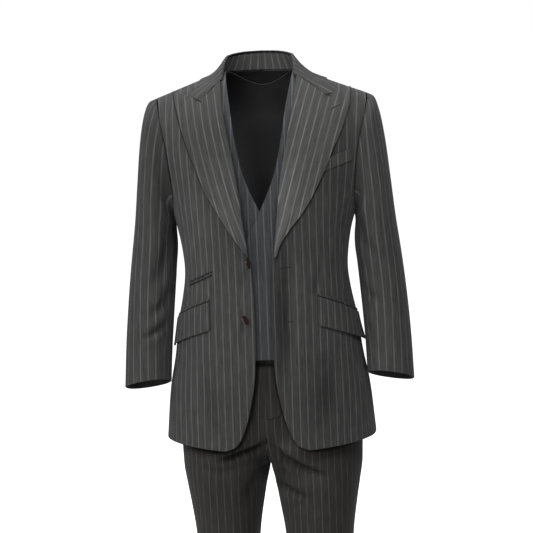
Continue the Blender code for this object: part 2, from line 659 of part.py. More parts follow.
def button(name, spec, place, direction):
    """A round button with a raised rim, its lower face at place and its axis along direction."""
    mesh = bmesh.new()
    bmesh.ops.create_cone(
        mesh,
        cap_ends=True,
        segments=BUTTON_SIDES,
        radius1=spec["radius"] * BUTTON_FOOT,
        radius2=spec["radius"],
        depth=spec["thickness"],
        matrix=Matrix.Translation((0, 0, spec["thickness"] / 2)),
    )
    top = max(mesh.faces, key=lambda face: face.calc_center_median().z)
    bmesh.ops.inset_individual(mesh, faces=[top], thickness=spec["radius"] * BUTTON_RIM)
    for corner in top.verts:
        corner.co.z -= spec["thickness"] * BUTTON_DISH
    data = bpy.data.meshes.new(name)
    mesh.to_mesh(data)
    mesh.free()
    piece = add_object(name, data, "button_horn")
    piece.rotation_mode = "QUATERNION"
    piece.rotation_quaternion = direction.to_track_quat("Z", "Y")
    piece.location = place


def front_button(name, spec):
    """A button on the wearer's right front, tipped towards the opening on its thread."""
    place = JACKET.at(spec["x"], spec["z"], -1)
    out = form_normal(JACKET, spec["x"], spec["z"], -1)
    tilt, lean = math.radians(spec["tilt"]), math.radians(spec["lean"])
    direction = Matrix.Rotation(-lean, 3, "Y") @ Matrix.Rotation(tilt, 3, "Z") @ out
    lift = BUTTON_FOOT * FRONT_BUTTON["radius"] * direction.cross(out).length + SEAM
    button(name, FRONT_BUTTON, place + out * lift, direction)


def level_lines(source):
    """A table's level lines and those over the shoulder, as shares of its surface."""
    last = len(source["rows"])
    over_shoulder = [(last - 1 + up) / last for up in below_ridge(SHOULDER_STEPS)]
    return [row / last for row in range(last)] + over_shoulder


def seam_lines():
    """The same level lines below the armhole, as shares of the side seam."""
    heights = [row[-1] for row in FRONT_ROWS["rows"]]
    return [(z - HEM_Z) / (JOIN_Z - HEM_Z) for z in heights if z <= JOIN_Z]


def build_jacket():
    seam = seam_lines()
    blades = [mix(BACK_UPPER, BACK_NECK, share) for share in BLADE_SHARES]
    shoulder = [mix(BACK_NECK, 1, share) for share in below_ridge(SHOULDER_STEPS)]
    back = [share * BACK_UPPER for share in seam] + blades + shoulder
    pair("jacket_front", jacket_front, 7, level_lines(FRONT_ROWS), "jacket_cloth")
    pair("jacket_back", jacket_back, 6, back, "jacket_cloth", facing=-1)
    pair("jacket_side", jacket_side, 4, seam, "jacket_cloth")
    for hand, side in (("left", 1), ("right", -1)):
        cloth(f"lapel_{hand}", lapel(hand), LAPEL_COLUMNS, LAPEL_LINES, "jacket_cloth", side=side,
              faces=(0.0, LAPEL_CLOTH))
        top = sleeve(side, SLEEVE_FRONT_SEAM + SEAM_ANGLE, SLEEVE_BACK_SEAM - SEAM_ANGLE)
        under = sleeve(side, SLEEVE_BACK_SEAM + SEAM_ANGLE, SLEEVE_FRONT_SEAM + 360 - SEAM_ANGLE)
        cloth(f"sleeve_top_{hand}", top, 9, SLEEVE_ROWS, "jacket_cloth", side=side)
        cloth(f"sleeve_under_{hand}", under, UNDER_COLUMNS, SLEEVE_ROWS, "jacket_cloth", side=side)
    cloth("collar_leaf", collar_leaf, 22, 3, "jacket_cloth")
    cloth("collar_stand", collar_stand, 18, 1, "jacket_cloth", faces=(-STAND_CLOTH, 0.0), reach=1 / 18)


def build_pockets():
    flap = pocket_strip(FLAP_HEIGHT, 0.0, FLAP_SWING)
    jetting = pocket_strip(JET_HEIGHT, JET_HEIGHT + SEAM, 0.0)
    pair("pocket_flap", flap, 6, 3, "jacket_cloth", facing=-1, faces=(0.0, LAPEL_CLOTH))
    pair("pocket_jetting", jetting, 6, 1, "jacket_cloth", facing=-1, faces=(0.0, CLOTH / 2))
    cloth("ticket_jetting", short_strip(TICKET), 4, 1, "jacket_cloth", facing=-1, side=-1,
          faces=(0.0, CLOTH / 2))
    cloth("breast_welt", short_strip(WELT), 5, 1, "jacket_cloth", facing=-1, faces=(0.0, CLOTH / 2))
    front_button("front_button_upper", UPPER_BUTTON)
    front_button("front_button_lower", LOWER_BUTTON)


# ---------------------------------------------------------------- waistcoat


def waistcoat_front(over):
    """A front from its edge (u = 0) to the side seam. over is how far the upper one lies off the other."""

    def surface(u, v):
        u = spread(u, 90)
        last = len(WAISTCOAT_ROWS["rows"]) - 1
        row, up = min(v * (last + 1), last), max(v * (last + 1) - last, 0)
        names = ("edge_x", "edge_z", "outer_share", "outer_z")
        x0, z0, share, z1 = (read(WAISTCOAT_ROWS, row, name) for name in names)
        x1 = mix(share * WAISTCOAT.width(z1), WAISTCOAT_SHOULDER_X, up)
        x0, z0 = mix(x0, WAISTCOAT_NECK_X, up), mix(z0, WAISTCOAT.ridge(WAISTCOAT_NECK_X), up)
        z1 = mix(z1, WAISTCOAT.ridge(WAISTCOAT_SHOULDER_X), up)
        x, z = mix(x0, x1, u), mix(z0, z1, u)
        lift = over * (1 - ease(x, *OVERLAP_SPAN)) * (1 - ease(z, *OVERLAP_TOP))
        return WAISTCOAT.at(x, z, -1) - Vector((0, lift, 0))

    return surface


def waistcoat_back(u, v):
    """The whole back, from the wearer's right side seam (u = 0) to the left one, hem to shoulders."""
    across = spread(abs(2 * u - 1), 90)
    last = len(WAISTCOAT_BACK_ROWS["rows"]) - 1
    row, up = min(v * (last + 1), last), max(v * (last + 1) - last, 0)
    names = ("middle_z", "outer_share", "outer_z")
    z0, share, z1 = (read(WAISTCOAT_BACK_ROWS, row, name) for name in names)
    top_x = across * WAISTCOAT_SHOULDER_X
    top_z = mix(WAISTCOAT_NAPE_Z, WAISTCOAT.ridge(top_x), min(top_x / WAISTCOAT_NECK_X, 1.0) ** 2)
    x = mix(across * share * WAISTCOAT.width(z1), top_x, up)
    place = WAISTCOAT.at(x, mix(mix(z0, z1, across), top_z, up), 1)
    return Vector((math.copysign(place.x, u - 0.5), place.y, place.z))


def build_waistcoat():
    lines = level_lines(WAISTCOAT_ROWS)
    cloth("waistcoat_front_left", waistcoat_front(OVERLAP_LIFT), 6, lines, "waistcoat_cloth")
    cloth("waistcoat_front_right", waistcoat_front(0.0), 6, lines, "waistcoat_cloth", side=-1)
    columns = [0.5 + hand * share / 2 for hand in (-1, 1) for share in WAISTCOAT_BACK_COLUMNS]
    cloth("waistcoat_back", waistcoat_back, sorted(set(columns)), level_lines(WAISTCOAT_BACK_ROWS),
          "waistcoat_cloth", facing=-1)
    for number, z in enumerate(WAISTCOAT_BUTTON_LEVELS, start=1):
        place = WAISTCOAT.at(WAISTCOAT_BUTTON_X, z, -1) - Vector((0, OVERLAP_LIFT + SEAM, 0))
        direction = form_normal(WAISTCOAT, WAISTCOAT_BUTTON_X, z, -1)
        button(f"waistcoat_button_{number}", WAISTCOAT_BUTTON, place, direction)


# ---------------------------------------------------------------- trousers


def leg_ring(angle, z):
    """A leg's section: -90 is its front, 0 its outer side, 90 its back and 180 its inner side."""
    inner, outer, front, back = (read(LEG_LEVELS, z, name) for name in ("inner", "outer", "front", "back"))
    inner = max(inner, SEAM / 2)
    turn = math.radians(angle)
    power = 2 / LEG_SQUARENESS
    across = math.copysign(abs(math.cos(turn)) ** power, math.cos(turn))
    deep = math.copysign(abs(math.sin(turn)) ** power, math.sin(turn))
    x = (inner + outer) / 2 + (outer - inner) / 2 * across
    return Vector((x, (front + back) / 2 + (back - front) / 2 * deep, z))


def stance(place, side):
    """The fork lies a little towards the wearer's right, and the sides stay where they are."""
    share = ease(-place.z, *STANCE_LEVELS) * (1 - ease(place.x, 0.0, STANCE_WIDTH))
    return place + Vector((side * FORK_SHIFT * share, 0, 0))


def trouser_half(face, side):
    """A trouser front (face -1) or back: from the centre and inner seam (u = 0) to the side seam."""
    beside_seam = Vector((0, face * SEAM / 2, 0))

    def surface(u, v):
        angle = face * (180 - 180 * u)
        if v < TROUSER_FORK:
            foot = HEM_FRONT_Z if face < 0 else HEM_BACK_Z
            z = mix(mix(foot, (HEM_FRONT_Z + HEM_BACK_Z) / 2, abs(2 * u - 1)), CROTCH_Z, v / TROUSER_FORK)
            return stance(leg_ring(angle, z) + beside_seam, side)
        z = mix(CROTCH_Z, WAIST_Z - BAND_HEIGHT - SEAM, (v - TROUSER_FORK) / (1 - TROUSER_FORK))
        leg = leg_ring(angle, z) + beside_seam
        fallen = min(max((FORK_TOP_Z - z) / (FORK_TOP_Z - CROTCH_Z), 0.0), 1.0)
        share = mix(1 - math.sqrt(1 - fallen * fallen), ease(fallen, 0.0, 1.0), ease(u, 0.0, FORK_REACH))
        hip = HIPS.at(leg.x * HIPS.width(z) / read(LEG_LEVELS, z, "outer"), z, face)
        return stance(Vector((mix(hip.x, leg.x, share), mix(hip.y, leg.y, share), z)), side)

    return surface


def waistband(u, v):
    """Round the waist from the centre front and back to it, top edge at v = 1."""
    turn = mix(SEAM_TURN, 360 - SEAM_TURN, u)
    z = mix(WAIST_Z - BAND_HEIGHT + SEAM / 2, WAIST_Z, v)
    place = HIPS.round(turn if turn <= 180 else 360 - turn, z)
    return Vector((place.x if turn <= 180 else -place.x, place.y, place.z))


def fly(u, v):
    """The fly's facing on the left front, from the centre seam to its row of stitching."""
    z = mix(FLY_END_Z, WAIST_Z - BAND_HEIGHT - SEAM, v)
    round_foot = 1 - max(1 - v / FLY_CURVE, 0.0) ** 2
    x = mix(FLY_INSET, min(FLY_WIDTH * math.sqrt(round_foot) + FLY_FOOT, FLY_WIDTH), u)
    return stance(HIPS.at(x, z, -1) + form_normal(HIPS, x, z, -1) * FLY_REST, 1)


def build_trousers():
    for hand, side in (("left", 1), ("right", -1)):
        front, back = trouser_half(-1, side), trouser_half(1, side)
        cloth(f"trouser_front_{hand}", front, 7, TROUSER_ROWS, "trouser_cloth", side=side,
              crease=TROUSER_FORK)
        cloth(f"trouser_back_{hand}", back, 7, TROUSER_ROWS, "trouser_cloth", facing=-1, side=side,
              crease=TROUSER_FORK)
    cloth("waistband", waistband, 34, 1, "trouser_cloth")
    cloth("fly", fly, 3, 6, "trouser_cloth", faces=(0.0, CLOTH / 2))


def clear_scene():
    for item in list(bpy.data.objects):
        bpy.data.objects.remove(item, do_unlink=True)


def make_materials():
    made = {}
    for name, look in LOOKS.items():
        material = bpy.data.materials.new(name)
        material.use_nodes = True
        shader = material.node_tree.nodes["Principled BSDF"]
        shader.inputs["Base Color"].default_value = (*look["colour"], 1)
        shader.inputs["Roughness"].default_value = look["roughness"]
        shader.inputs["Metallic"].default_value = 0.0
        made[name] = material
    return made


clear_scene()
MATERIALS = make_materials()
build_jacket()
build_pockets()
build_waistcoat()
build_trousers()
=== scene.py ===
# %% [markdown]
# # A three-piece suit
# This lesson dresses a plain, faceted model of a worn suit. The model fixes where every panel lies. Here each
# panel is made again with a fine mesh, with its creases, its rolled edges, its seams and its striped wool.
# The cells run from top to bottom. Sizes are in metres, x runs across the wearer, -y is the front, z is up,
# and z = 0 is the base of the neck.

# %% Load the plain model
import math
from functools import partial

import bpy
import numpy as np
from mathutils import Matrix, Vector
from mathutils.bvhtree import BVHTree


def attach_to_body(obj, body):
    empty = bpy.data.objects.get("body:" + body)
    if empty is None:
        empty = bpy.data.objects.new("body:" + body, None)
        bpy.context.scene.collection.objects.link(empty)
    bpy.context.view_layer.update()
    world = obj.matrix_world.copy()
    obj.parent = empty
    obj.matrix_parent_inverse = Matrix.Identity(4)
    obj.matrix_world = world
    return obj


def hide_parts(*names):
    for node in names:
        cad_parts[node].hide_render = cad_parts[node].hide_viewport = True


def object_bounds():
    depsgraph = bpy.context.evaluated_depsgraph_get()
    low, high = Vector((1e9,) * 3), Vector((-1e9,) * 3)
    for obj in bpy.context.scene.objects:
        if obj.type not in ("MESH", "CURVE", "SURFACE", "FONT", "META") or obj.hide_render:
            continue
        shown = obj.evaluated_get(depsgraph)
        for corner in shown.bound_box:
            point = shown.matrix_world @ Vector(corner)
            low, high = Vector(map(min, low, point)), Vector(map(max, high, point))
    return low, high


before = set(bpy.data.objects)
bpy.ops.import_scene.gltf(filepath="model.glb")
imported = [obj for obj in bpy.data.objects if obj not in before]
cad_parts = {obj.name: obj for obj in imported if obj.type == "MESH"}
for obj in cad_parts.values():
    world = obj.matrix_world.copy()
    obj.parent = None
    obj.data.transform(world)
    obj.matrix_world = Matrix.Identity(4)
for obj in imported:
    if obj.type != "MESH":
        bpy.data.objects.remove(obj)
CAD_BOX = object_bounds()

print("nodes:", len(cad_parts), "box:", [[round(value, 3) for value in corner] for corner in CAD_BOX])

# %% [markdown]
# ## Tables and curves
# A tailor drafts with measures at a few levels and draws smooth curves through them. `table` keeps such
# measures under named columns, and `read` gives a column's value anywhere on a smooth curve through its rows.

# %% Measures and smooth curves
def table(columns, *rows):
    """Rows of numbers under named columns. The first column rises, and the others are read against it."""
    return {"columns": columns.split(), "rows": sorted(rows)}


def read(source, at, name):
    """A column's value where the first column is `at`, on a smooth curve through the rows."""
    rows, k = source["rows"], source["columns"].index(name)
    at = min(max(at, rows[0][0]), rows[-1][0])
    i = max(j for j in range(len(rows) - 1) if rows[j][0] <= at)
    span = rows[i + 1][0] - rows[i][0]
    t = (at - rows[i][0]) / span

    def slope(j):
        before, after = rows[max(j - 1, 0)], rows[min(j + 1, len(rows) - 1)]
        return (after[k] - before[k]) / (after[0] - before[0])

    return (
        rows[i][k] * (2 * t**3 - 3 * t**2 + 1)
        + rows[i + 1][k] * (3 * t**2 - 2 * t**3)
        + slope(i) * span * (t**3 - 2 * t**2 + t)
        + slope(i + 1) * span * (t**3 - t**2)
    )


def mix(a, b, share):
    return a + (b - a) * share


def ease(value, low, high):
    """0 below low, 1 above high and a soft step between them."""
    t = min(max((value - low) / (high - low), 0.0), 1.0)
    return t * t * (3 - 2 * t)


def reads(source, at, names):
    """Several columns' values at one place."""
    return [read(source, at, name) for name in names.split()]


print("half of a soft step:", ease(0.5, 0.0, 1.0))

# %% [markdown]
# ## The wearer's form
# A coat is drafted on the body's level sections. Each level here gives half the width, the depth in front
# and the depth behind, and a section is a rounded square between a circle and a box. The form closes over
# the shoulders along one straight ridge, where the shoulder seams lie.

# %% Levels of the three garments
CLOTH = 0.002  # suiting with its canvas or pocketing
LAPEL_CLOTH = 0.0026  # a lapel and a flap are two layers
SEAM = 0.0004  # between two pieces sewn together
REST = 0.0011  # between a panel and what lies on it

RIDGE_TOP = 0.028
RIDGE_SLOPE = 0.386
RIDGE_SOFTNESS = 0.02
SHOULDER_ROUNDING = 0.12
SQUARENESS = 2.4
WAISTCOAT_DROP = 0.0035  # below the jacket's shoulder
JACKET_LEVELS = table(
    "z width front back",
    (0.060, 0.242, 0.078, 0.088),
    (-0.040, 0.240, 0.096, 0.106),
    (-0.100, 0.235, 0.114, 0.121),
    (-0.160, 0.224, 0.130, 0.130),
    (-0.220, 0.203, 0.139, 0.129),
    (-0.300, 0.182, 0.140, 0.117),
    (-0.360, 0.1705, 0.132, 0.103),
    (-0.410, 0.1670, 0.125, 0.097),
    (-0.460, 0.1735, 0.124, 0.102),
    (-0.510, 0.1840, 0.126, 0.112),
    (-0.580, 0.1930, 0.130, 0.124),
    (-0.650, 0.2060, 0.134, 0.131),
    (-0.760, 0.2170, 0.139, 0.137),
)
WAISTCOAT_LEVELS = table(
    "z width front back",
    (0.060, 0.230, 0.071, 0.078),
    (-0.040, 0.228, 0.090, 0.096),
    (-0.100, 0.223, 0.108, 0.110),
    (-0.160, 0.212, 0.122, 0.119),
    (-0.220, 0.190, 0.128, 0.118),
    (-0.300, 0.168, 0.126, 0.106),
    (-0.360, 0.156, 0.119, 0.092),
    (-0.410, 0.151, 0.113, 0.084),
    (-0.460, 0.1515, 0.1115, 0.0845),
    (-0.510, 0.1575, 0.1115, 0.0915),
    (-0.580, 0.1730, 0.1135, 0.1090),
)
HIP_LEVELS = table(
    "z width front back",
    (-0.500, 0.1505, 0.1032, 0.0845),
    (-0.540, 0.1587, 0.1050, 0.0943),
    (-0.580, 0.1690, 0.1070, 0.1045),
    (-0.640, 0.1810, 0.1090, 0.1180),
    (-0.700, 0.1870, 0.1090, 0.1240),
    (-0.760, 0.1885, 0.1060, 0.1230),
    (-0.811, 0.1860, 0.1010, 0.1170),
)

print("levels:", *(len(levels["rows"]) for levels in (JACKET_LEVELS, WAISTCOAT_LEVELS, HIP_LEVELS)))

# %% Points on a form
NORMAL_STEP = 0.0006  # between the places from which a direction is measured


class Form:
    """A body's shape: at each level a rounded section, closed over the shoulders along one ridge."""

    def __init__(self, levels, drop=0.0):
        self.levels = levels
        self.drop = drop

    def ridge(self, x):
        return RIDGE_TOP - self.drop - RIDGE_SLOPE * math.hypot(x, RIDGE_SOFTNESS)

    def width(self, z):
        return read(self.levels, z, "width")

    def at(self, x, z, face):
        """The point at x and z, on the front (face -1) or on the back (face 1)."""
        reach = read(self.levels, z, "front" if face < 0 else "back")
        across = min(abs(x) / self.width(z), 1.0)
        below = min(max(self.ridge(x) - z, 0.0) / SHOULDER_ROUNDING, 1.0)
        curve = (1 - across**SQUARENESS) ** (1 / SQUARENESS)
        return Vector((x, face * (SEAM / 2 + reach * curve * math.sqrt(1 - (1 - below) ** 2)), z))

    def over(self, x, drop):
        """The point at x, this far below the ridge: on the back, or on the front where drop is negative."""
        return self.at(x, self.ridge(x) - max(abs(drop), SEAM), math.copysign(1, drop))

    def round(self, turn, z):
        """The point at a turn in degrees: 0 is the centre front, 90 the side, 180 the centre back."""
        x = self.width(z) * abs(math.sin(math.radians(turn))) ** (2 / SQUARENESS)
        return self.at(x, z, -1 if turn < 90 else 1)

    def turn_at(self, x, z):
        """The turn, up to 90, of the point of the front at x and z."""
        across = min(abs(x) / self.width(z), 1.0)
        return math.degrees(math.asin(across ** (SQUARENESS / 2)))


JACKET = Form(JACKET_LEVELS)
WAISTCOAT = Form(WAISTCOAT_LEVELS, WAISTCOAT_DROP)
HIPS = Form(HIP_LEVELS)


def spread(u, turn):
    """Steps that get shorter as the panel curves round the body, up to this turn in degrees."""
    return math.sin(math.radians(turn) * u) / math.sin(math.radians(turn))


def form_normal(form, x, z, face):
    """The form's outward direction at a point of its front or back."""
    step = NORMAL_STEP
    z = min(z, form.ridge(x) - step)
    across = form.at(x + step, z, face) - form.at(x - step, z, face)
    up = form.at(x, z + step / 2, face) - form.at(x, z - step, face)
    return (-face) * across.cross(up).normalized()

print("chest width:", round(2 * JACKET.width(-0.16), 3), "waist width:", round(2 * JACKET.width(-0.41), 3))

# %% [markdown]
# ## Cloth as a thin shell
# Cloth is one sheet with two faces. Blender's Solidify modifier could give a sheet its thickness, but a
# tailor's edges are pressed round, so here both faces are made from one grid of points and meet on a rounded
# edge. The grid has even steps, in metres along the cloth, and a few close lines beside every edge.

# %% Lines across a cloth
EDGE_LINES = np.array([0.0, 0.0004, 0.001, 0.0019, 0.004])
ROUND = 0.0013  # the width of a rounded edge
PROBES = 240  # steps in which a surface is measured


def lines(surface, step, upward, close=0.0):
    """Shares of the surface at even steps, close together beside its edges, and their places in metres.

    Up to the share `close` the cloth bends sharply, and its lines are a fifth as far apart.
    """
    probes = [1 - (1 - k / PROBES) ** 2 for k in range(PROBES + 1)]
    lengths = np.zeros(PROBES)
    for other in (0.1, 0.5, 0.9):
        path = np.array([surface(other, share) if upward else surface(share, other) for share in probes])
        lengths = np.maximum(lengths, np.linalg.norm(np.diff(path, axis=0), axis=1))
    along = np.concatenate([[0.0], np.cumsum(lengths)])
    edge = EDGE_LINES * min(1.0, along[-1] / (3 * EDGE_LINES[-1]))
    bend = max(np.interp(close, probes, along), edge[-1])
    bent = np.linspace(edge[-1], bend, round(5 * (bend - edge[-1]) / step) + 1)[:-1]
    flat = np.linspace(bend, along[-1] - edge[-1], max(round((along[-1] - bend) / step), 2))
    inner = np.concatenate([bent, flat])
    places = np.concatenate([edge[:-1], inner, along[-1] - edge[-2::-1]])
    return np.interp(places, along, probes), places


def rounding(places):
    """How thick the cloth is at each line: nothing on the edge itself and 1 from ROUND inwards."""
    inside = np.minimum(places, places[-1] - places) / min(ROUND, places[-1] / 6)
    return np.sqrt(1 - (1 - np.clip(inside, 0, 1)) ** 2)


print("thickness on the first lines of an edge:", np.round(rounding(np.arange(5) * 0.0005), 2))

# %% [markdown]
# ## The cloth's own measure
# Stripes are woven into the cloth, so they follow it and not the room. Each piece gets a UV map called
# `cloth`, in metres: its first value runs across the stripes, and its second along them. On a body panel the
# stripes are straight down, so the first value is the distance round the body from its centre line.

# %% Where the stripes run
STRIPE_SPACING = 0.0152
SLEEVE_HEAD_SHARE = 0.26  # of a sleeve's length, in which its stripes run up to the armhole
UNDER_HEAD = 0.16  # the same on the under sleeve, in metres


def running(grid, axis):
    """Distances along the rows (axis 1) or columns (axis 0) of a grid of points."""
    steps = np.linalg.norm(np.diff(grid, axis=axis), axis=2)
    return np.concatenate([np.zeros_like(steps.take([0], axis)), np.cumsum(steps, axis)], axis)


def level_grain(grid):
    """Stripes straight down a body panel."""
    level = grid * (1, 1, 0)
    return grid[:, :1, 0] + running(level, 1), running(grid, 0)


def centred_grain(share):
    """Stripes along a leg or a sleeve: measured from the line at this share of its columns."""

    def grain(grid):
        across = running(grid * (1, 1, 0), 1)
        middle = across[:, round(share * (grid.shape[1] - 1))]
        return across - middle[:, None], running(grid, 0)

    return grain


def sleeve_grain(share, head=SLEEVE_HEAD_SHARE):
    """As centred_grain, but over the sleeve's head each stripe keeps its distance from the outer side, so that
    it runs straight up to the armhole's seam."""
    below = centred_grain(share)

    def grain(grid):
        across, down = below(grid)
        crown = round(share * (grid.shape[1] - 1))
        length = running(grid, 0)[:, crown]
        base = int(np.searchsorted(length, head * length[-1]))
        outer = np.interp(grid[..., 2], grid[::-1, crown, 2], grid[::-1, crown, 0])
        inward = outer - grid[..., 0]
        for columns in (np.s_[: crown + 1], np.s_[crown:]):
            distance, value = inward[base, columns], across[base, columns]
            order = np.argsort(distance)
            distance, value = distance[order], value[order]
            low, high = np.ceil(value.min() / STRIPE_SPACING), np.floor(value.max() / STRIPE_SPACING)
            kept = np.interp(inward[:base, columns], distance, value)
            across[:base, columns] = np.clip(kept, low * STRIPE_SPACING, high * STRIPE_SPACING)
        return across, down

    return grain


def under_grain(grid):
    """As centred_grain, but over the under sleeve's head the stripes keep to its columns."""
    across, down = centred_grain(0.5)(grid)
    base = int(np.searchsorted(running(grid, 0)[:, grid.shape[1] // 2], UNDER_HEAD))
    across[:base] = across[base]
    return across, down


def long_grain(grid):
    """Stripes across a long strip, such as a collar."""
    across = running(grid, 1).mean(axis=0)
    return np.broadcast_to(across - across[-1] / 2, grid.shape[:2]), running(grid, 0)


def slanted_grain(shifts, angle):
    """Stripes that slant over a lapel: shifts gives how far across they run at each level."""
    lean = math.cos(math.radians(angle))

    def grain(grid):
        moved = np.vectorize(lambda z: read(shifts, z, "x"))(grid[..., 2])
        return (grid[..., 0] - moved) * lean, grid[..., 2]

    return grain


print("stripes in a metre:", round(1 / STRIPE_SPACING))

# %% [markdown]
# ## Folds
# Worn cloth is pulled where the body bends it: at the elbow, at the fork and across the seat. Such a fold is
# a soft trough between two lips, deepest in its middle and gone at its ends. Each is given as a line of places
# seen from the front, with its own depth and half width, because no two folds are alike.

# %% Troughs and lips
FOLDS = {
    "sleeve_top_right": (
        (((-0.188, -0.300), (-0.203, -0.370), (-0.228, -0.435)), 0.0050, 0.0110, -0.07),
        (((-0.194, -0.430), (-0.210, -0.468), (-0.236, -0.494)), 0.0050, 0.0085, -0.07),
        (((-0.198, -0.496), (-0.214, -0.516), (-0.238, -0.531), (-0.256, -0.535)), 0.0065, 0.0070, -0.09),
        (((-0.205, -0.330), (-0.235, -0.375), (-0.270, -0.395)), 0.0045, 0.0100, 0.07),
        (((-0.200, -0.400), (-0.235, -0.425), (-0.275, -0.432)), 0.0035, 0.0080, 0.06),
    ),
    "sleeve_top_left": (
        (((0.186, -0.270), (0.204, -0.345), (0.232, -0.385)), 0.0040, 0.0110, -0.07),
        (((0.192, -0.425), (0.214, -0.458), (0.242, -0.470)), 0.0030, 0.0085, -0.07),
        (((0.205, -0.320), (0.238, -0.368), (0.272, -0.380)), 0.0042, 0.0095, 0.07),
        (((0.202, -0.405), (0.240, -0.428), (0.276, -0.425)), 0.0030, 0.0080, 0.06),
    ),
    "trouser_front_right": (
        (((0.004, -0.745), (-0.030, -0.767), (-0.070, -0.777), (-0.120, -0.791)), 0.0095, 0.0066, None),
        (((-0.145, -0.797), (-0.108, -0.806), (-0.060, -0.800)), 0.0040, 0.0100, None),
        (((-0.010, -0.800), (-0.045, -0.845), (-0.060, -0.900)), 0.0040, 0.0110, None),
        (((-0.060, -1.105), (-0.100, -1.118), (-0.150, -1.108)), 0.0035, 0.0120, None),
        (((-0.075, -1.470), (-0.110, -1.482), (-0.150, -1.474)), 0.0040, 0.0110, None),
    ),
    "trouser_front_left": (
        (((0.000, -0.748), (0.028, -0.782), (0.064, -0.801), (0.124, -0.826)), 0.0095, 0.0066, None),
        (((0.006, -0.836), (0.050, -0.857), (0.086, -0.872)), 0.0065, 0.0072, None),
        (((0.012, -0.770), (0.026, -0.800), (0.034, -0.836)), 0.0030, 0.0080, None),
        (((0.065, -1.120), (0.105, -1.130), (0.150, -1.118)), 0.0035, 0.0120, None),
        (((0.080, -1.480), (0.115, -1.490), (0.150, -1.480)), 0.0040, 0.0110, None),
    ),
    "trouser_back_right": (
        (((-0.010, -0.800), (-0.060, -0.822), (-0.125, -0.812)), 0.0060, 0.0120, None),
        (((-0.055, -1.090), (-0.100, -1.102), (-0.150, -1.088)), 0.0050, 0.0110, None),
        (((-0.060, -1.130), (-0.095, -1.138), (-0.140, -1.130)), 0.0035, 0.0090, None),
    ),
    "trouser_back_left": (
        (((0.010, -0.806), (0.062, -0.828), (0.120, -0.822)), 0.0060, 0.0120, None),
        (((0.055, -1.100), (0.105, -1.112), (0.150, -1.096)), 0.0050, 0.0110, None),
        (((0.065, -1.140), (0.100, -1.148), (0.140, -1.142)), 0.0035, 0.0090, None),
    ),
    "jacket_front_left": (
        (((0.112, -0.385), (0.109, -0.425), (0.104, -0.452)), 0.0026, 0.0080, None),
        (((0.050, -0.340), (0.046, -0.440), (0.044, -0.620)), 0.0055, 0.0150, None),
        (((0.128, -0.560), (0.124, -0.640), (0.118, -0.720)), 0.0030, 0.0200, None),
    ),
    "jacket_front_right": (
        (((-0.120, -0.580), (-0.114, -0.650), (-0.104, -0.740)), 0.0026, 0.0180, None),
    ),
    "jacket_back_left": (
        (((0.160, -0.100), (0.150, -0.210), (0.128, -0.320)), 0.0045, 0.0150, None),
        (((0.020, -0.385), (0.070, -0.396), (0.130, -0.388)), 0.0026, 0.0130, None),
        (((0.085, -0.470), (0.092, -0.580), (0.102, -0.700)), 0.0035, 0.0200, None),
    ),
    "jacket_back_right": (
        (((-0.162, -0.110), (-0.150, -0.225), (-0.124, -0.335)), 0.0045, 0.0150, None),
        (((-0.025, -0.378), (-0.075, -0.392), (-0.128, -0.380)), 0.0026, 0.0130, None),
        (((-0.078, -0.480), (-0.090, -0.590), (-0.098, -0.720)), 0.0035, 0.0200, None),
    ),
}


LIP_PLACE = 2.0  # from a fold's middle, in half widths
LIP_WIDTH = 1.3
LIP_HEIGHTS = (0.5, 0.35)  # as shares of the trough's depth
FOLD_TAPER = 0.8
FOLD_REACH = 0.05  # how far a fold is felt from front to back


def beside_places(line, grid, open_ends=False):
    """Where the points of a grid, seen from the front, lie beside a line of places.

    Gives each point's distance from the line (negative on its right), the share of the line at which it is
    nearest, and how far beyond the line's open ends it lies.
    """
    line, seen = np.array(line, dtype=float), grid[..., (0, 2)]
    lengths = np.linalg.norm(np.diff(line, axis=0), axis=1)
    begins = np.concatenate([[0.0], np.cumsum(lengths)])
    nearest = np.full(seen.shape[:2], 1e9)
    signed, share, over = (np.zeros_like(nearest) for _ in range(3))
    last = len(lengths) - 1
    for k, length in enumerate(lengths):
        step = (line[k + 1] - line[k]) / length
        low, high = -9 if open_ends and k == 0 else 0, 9 if open_ends and k == last else length
        along = np.clip((seen - line[k]) @ step, low, high)
        away = seen - line[k] - along[..., None] * step
        distance = np.hypot(away[..., 0], away[..., 1])
        closer = distance < nearest
        side = np.sign(step[0] * away[..., 1] - step[1] * away[..., 0])
        nearest = np.where(closer, distance, nearest)
        signed = np.where(closer, side * distance, signed)
        share = np.where(closer, (begins[k] + along) / begins[-1], share)
        over = np.where(closer, np.maximum(-along, along - length) * (k in (0, last)), over)
    return signed, share, over


def trough(grid, line, depth, width, middle_y):
    """One fold's height at every point of a grid."""
    aside, share, _ = beside_places(line, grid)
    q = aside / width
    lips = [tall * np.exp(-(((q - place) / LIP_WIDTH) ** 2))
            for tall, place in zip(LIP_HEIGHTS, (LIP_PLACE, -LIP_PLACE))]
    height = depth * (lips[0] + lips[1] - np.exp(-(q**2))) * np.sin(np.pi * share) ** FOLD_TAPER
    if middle_y is not None:
        height *= np.exp(-(((grid[..., 1] - middle_y) / FOLD_REACH) ** 4))
    return height


def folded(node):
    """All the folds of a piece."""

    def creases(grid):
        rows = FOLDS.get(node.replace("_under_", "_top_"), ())
        return sum((trough(grid, *fold) for fold in rows), np.zeros(grid.shape[:2]))

    return creases


print("folds:", sum(len(rows) for rows in FOLDS.values()), "on", len(FOLDS), "pieces")
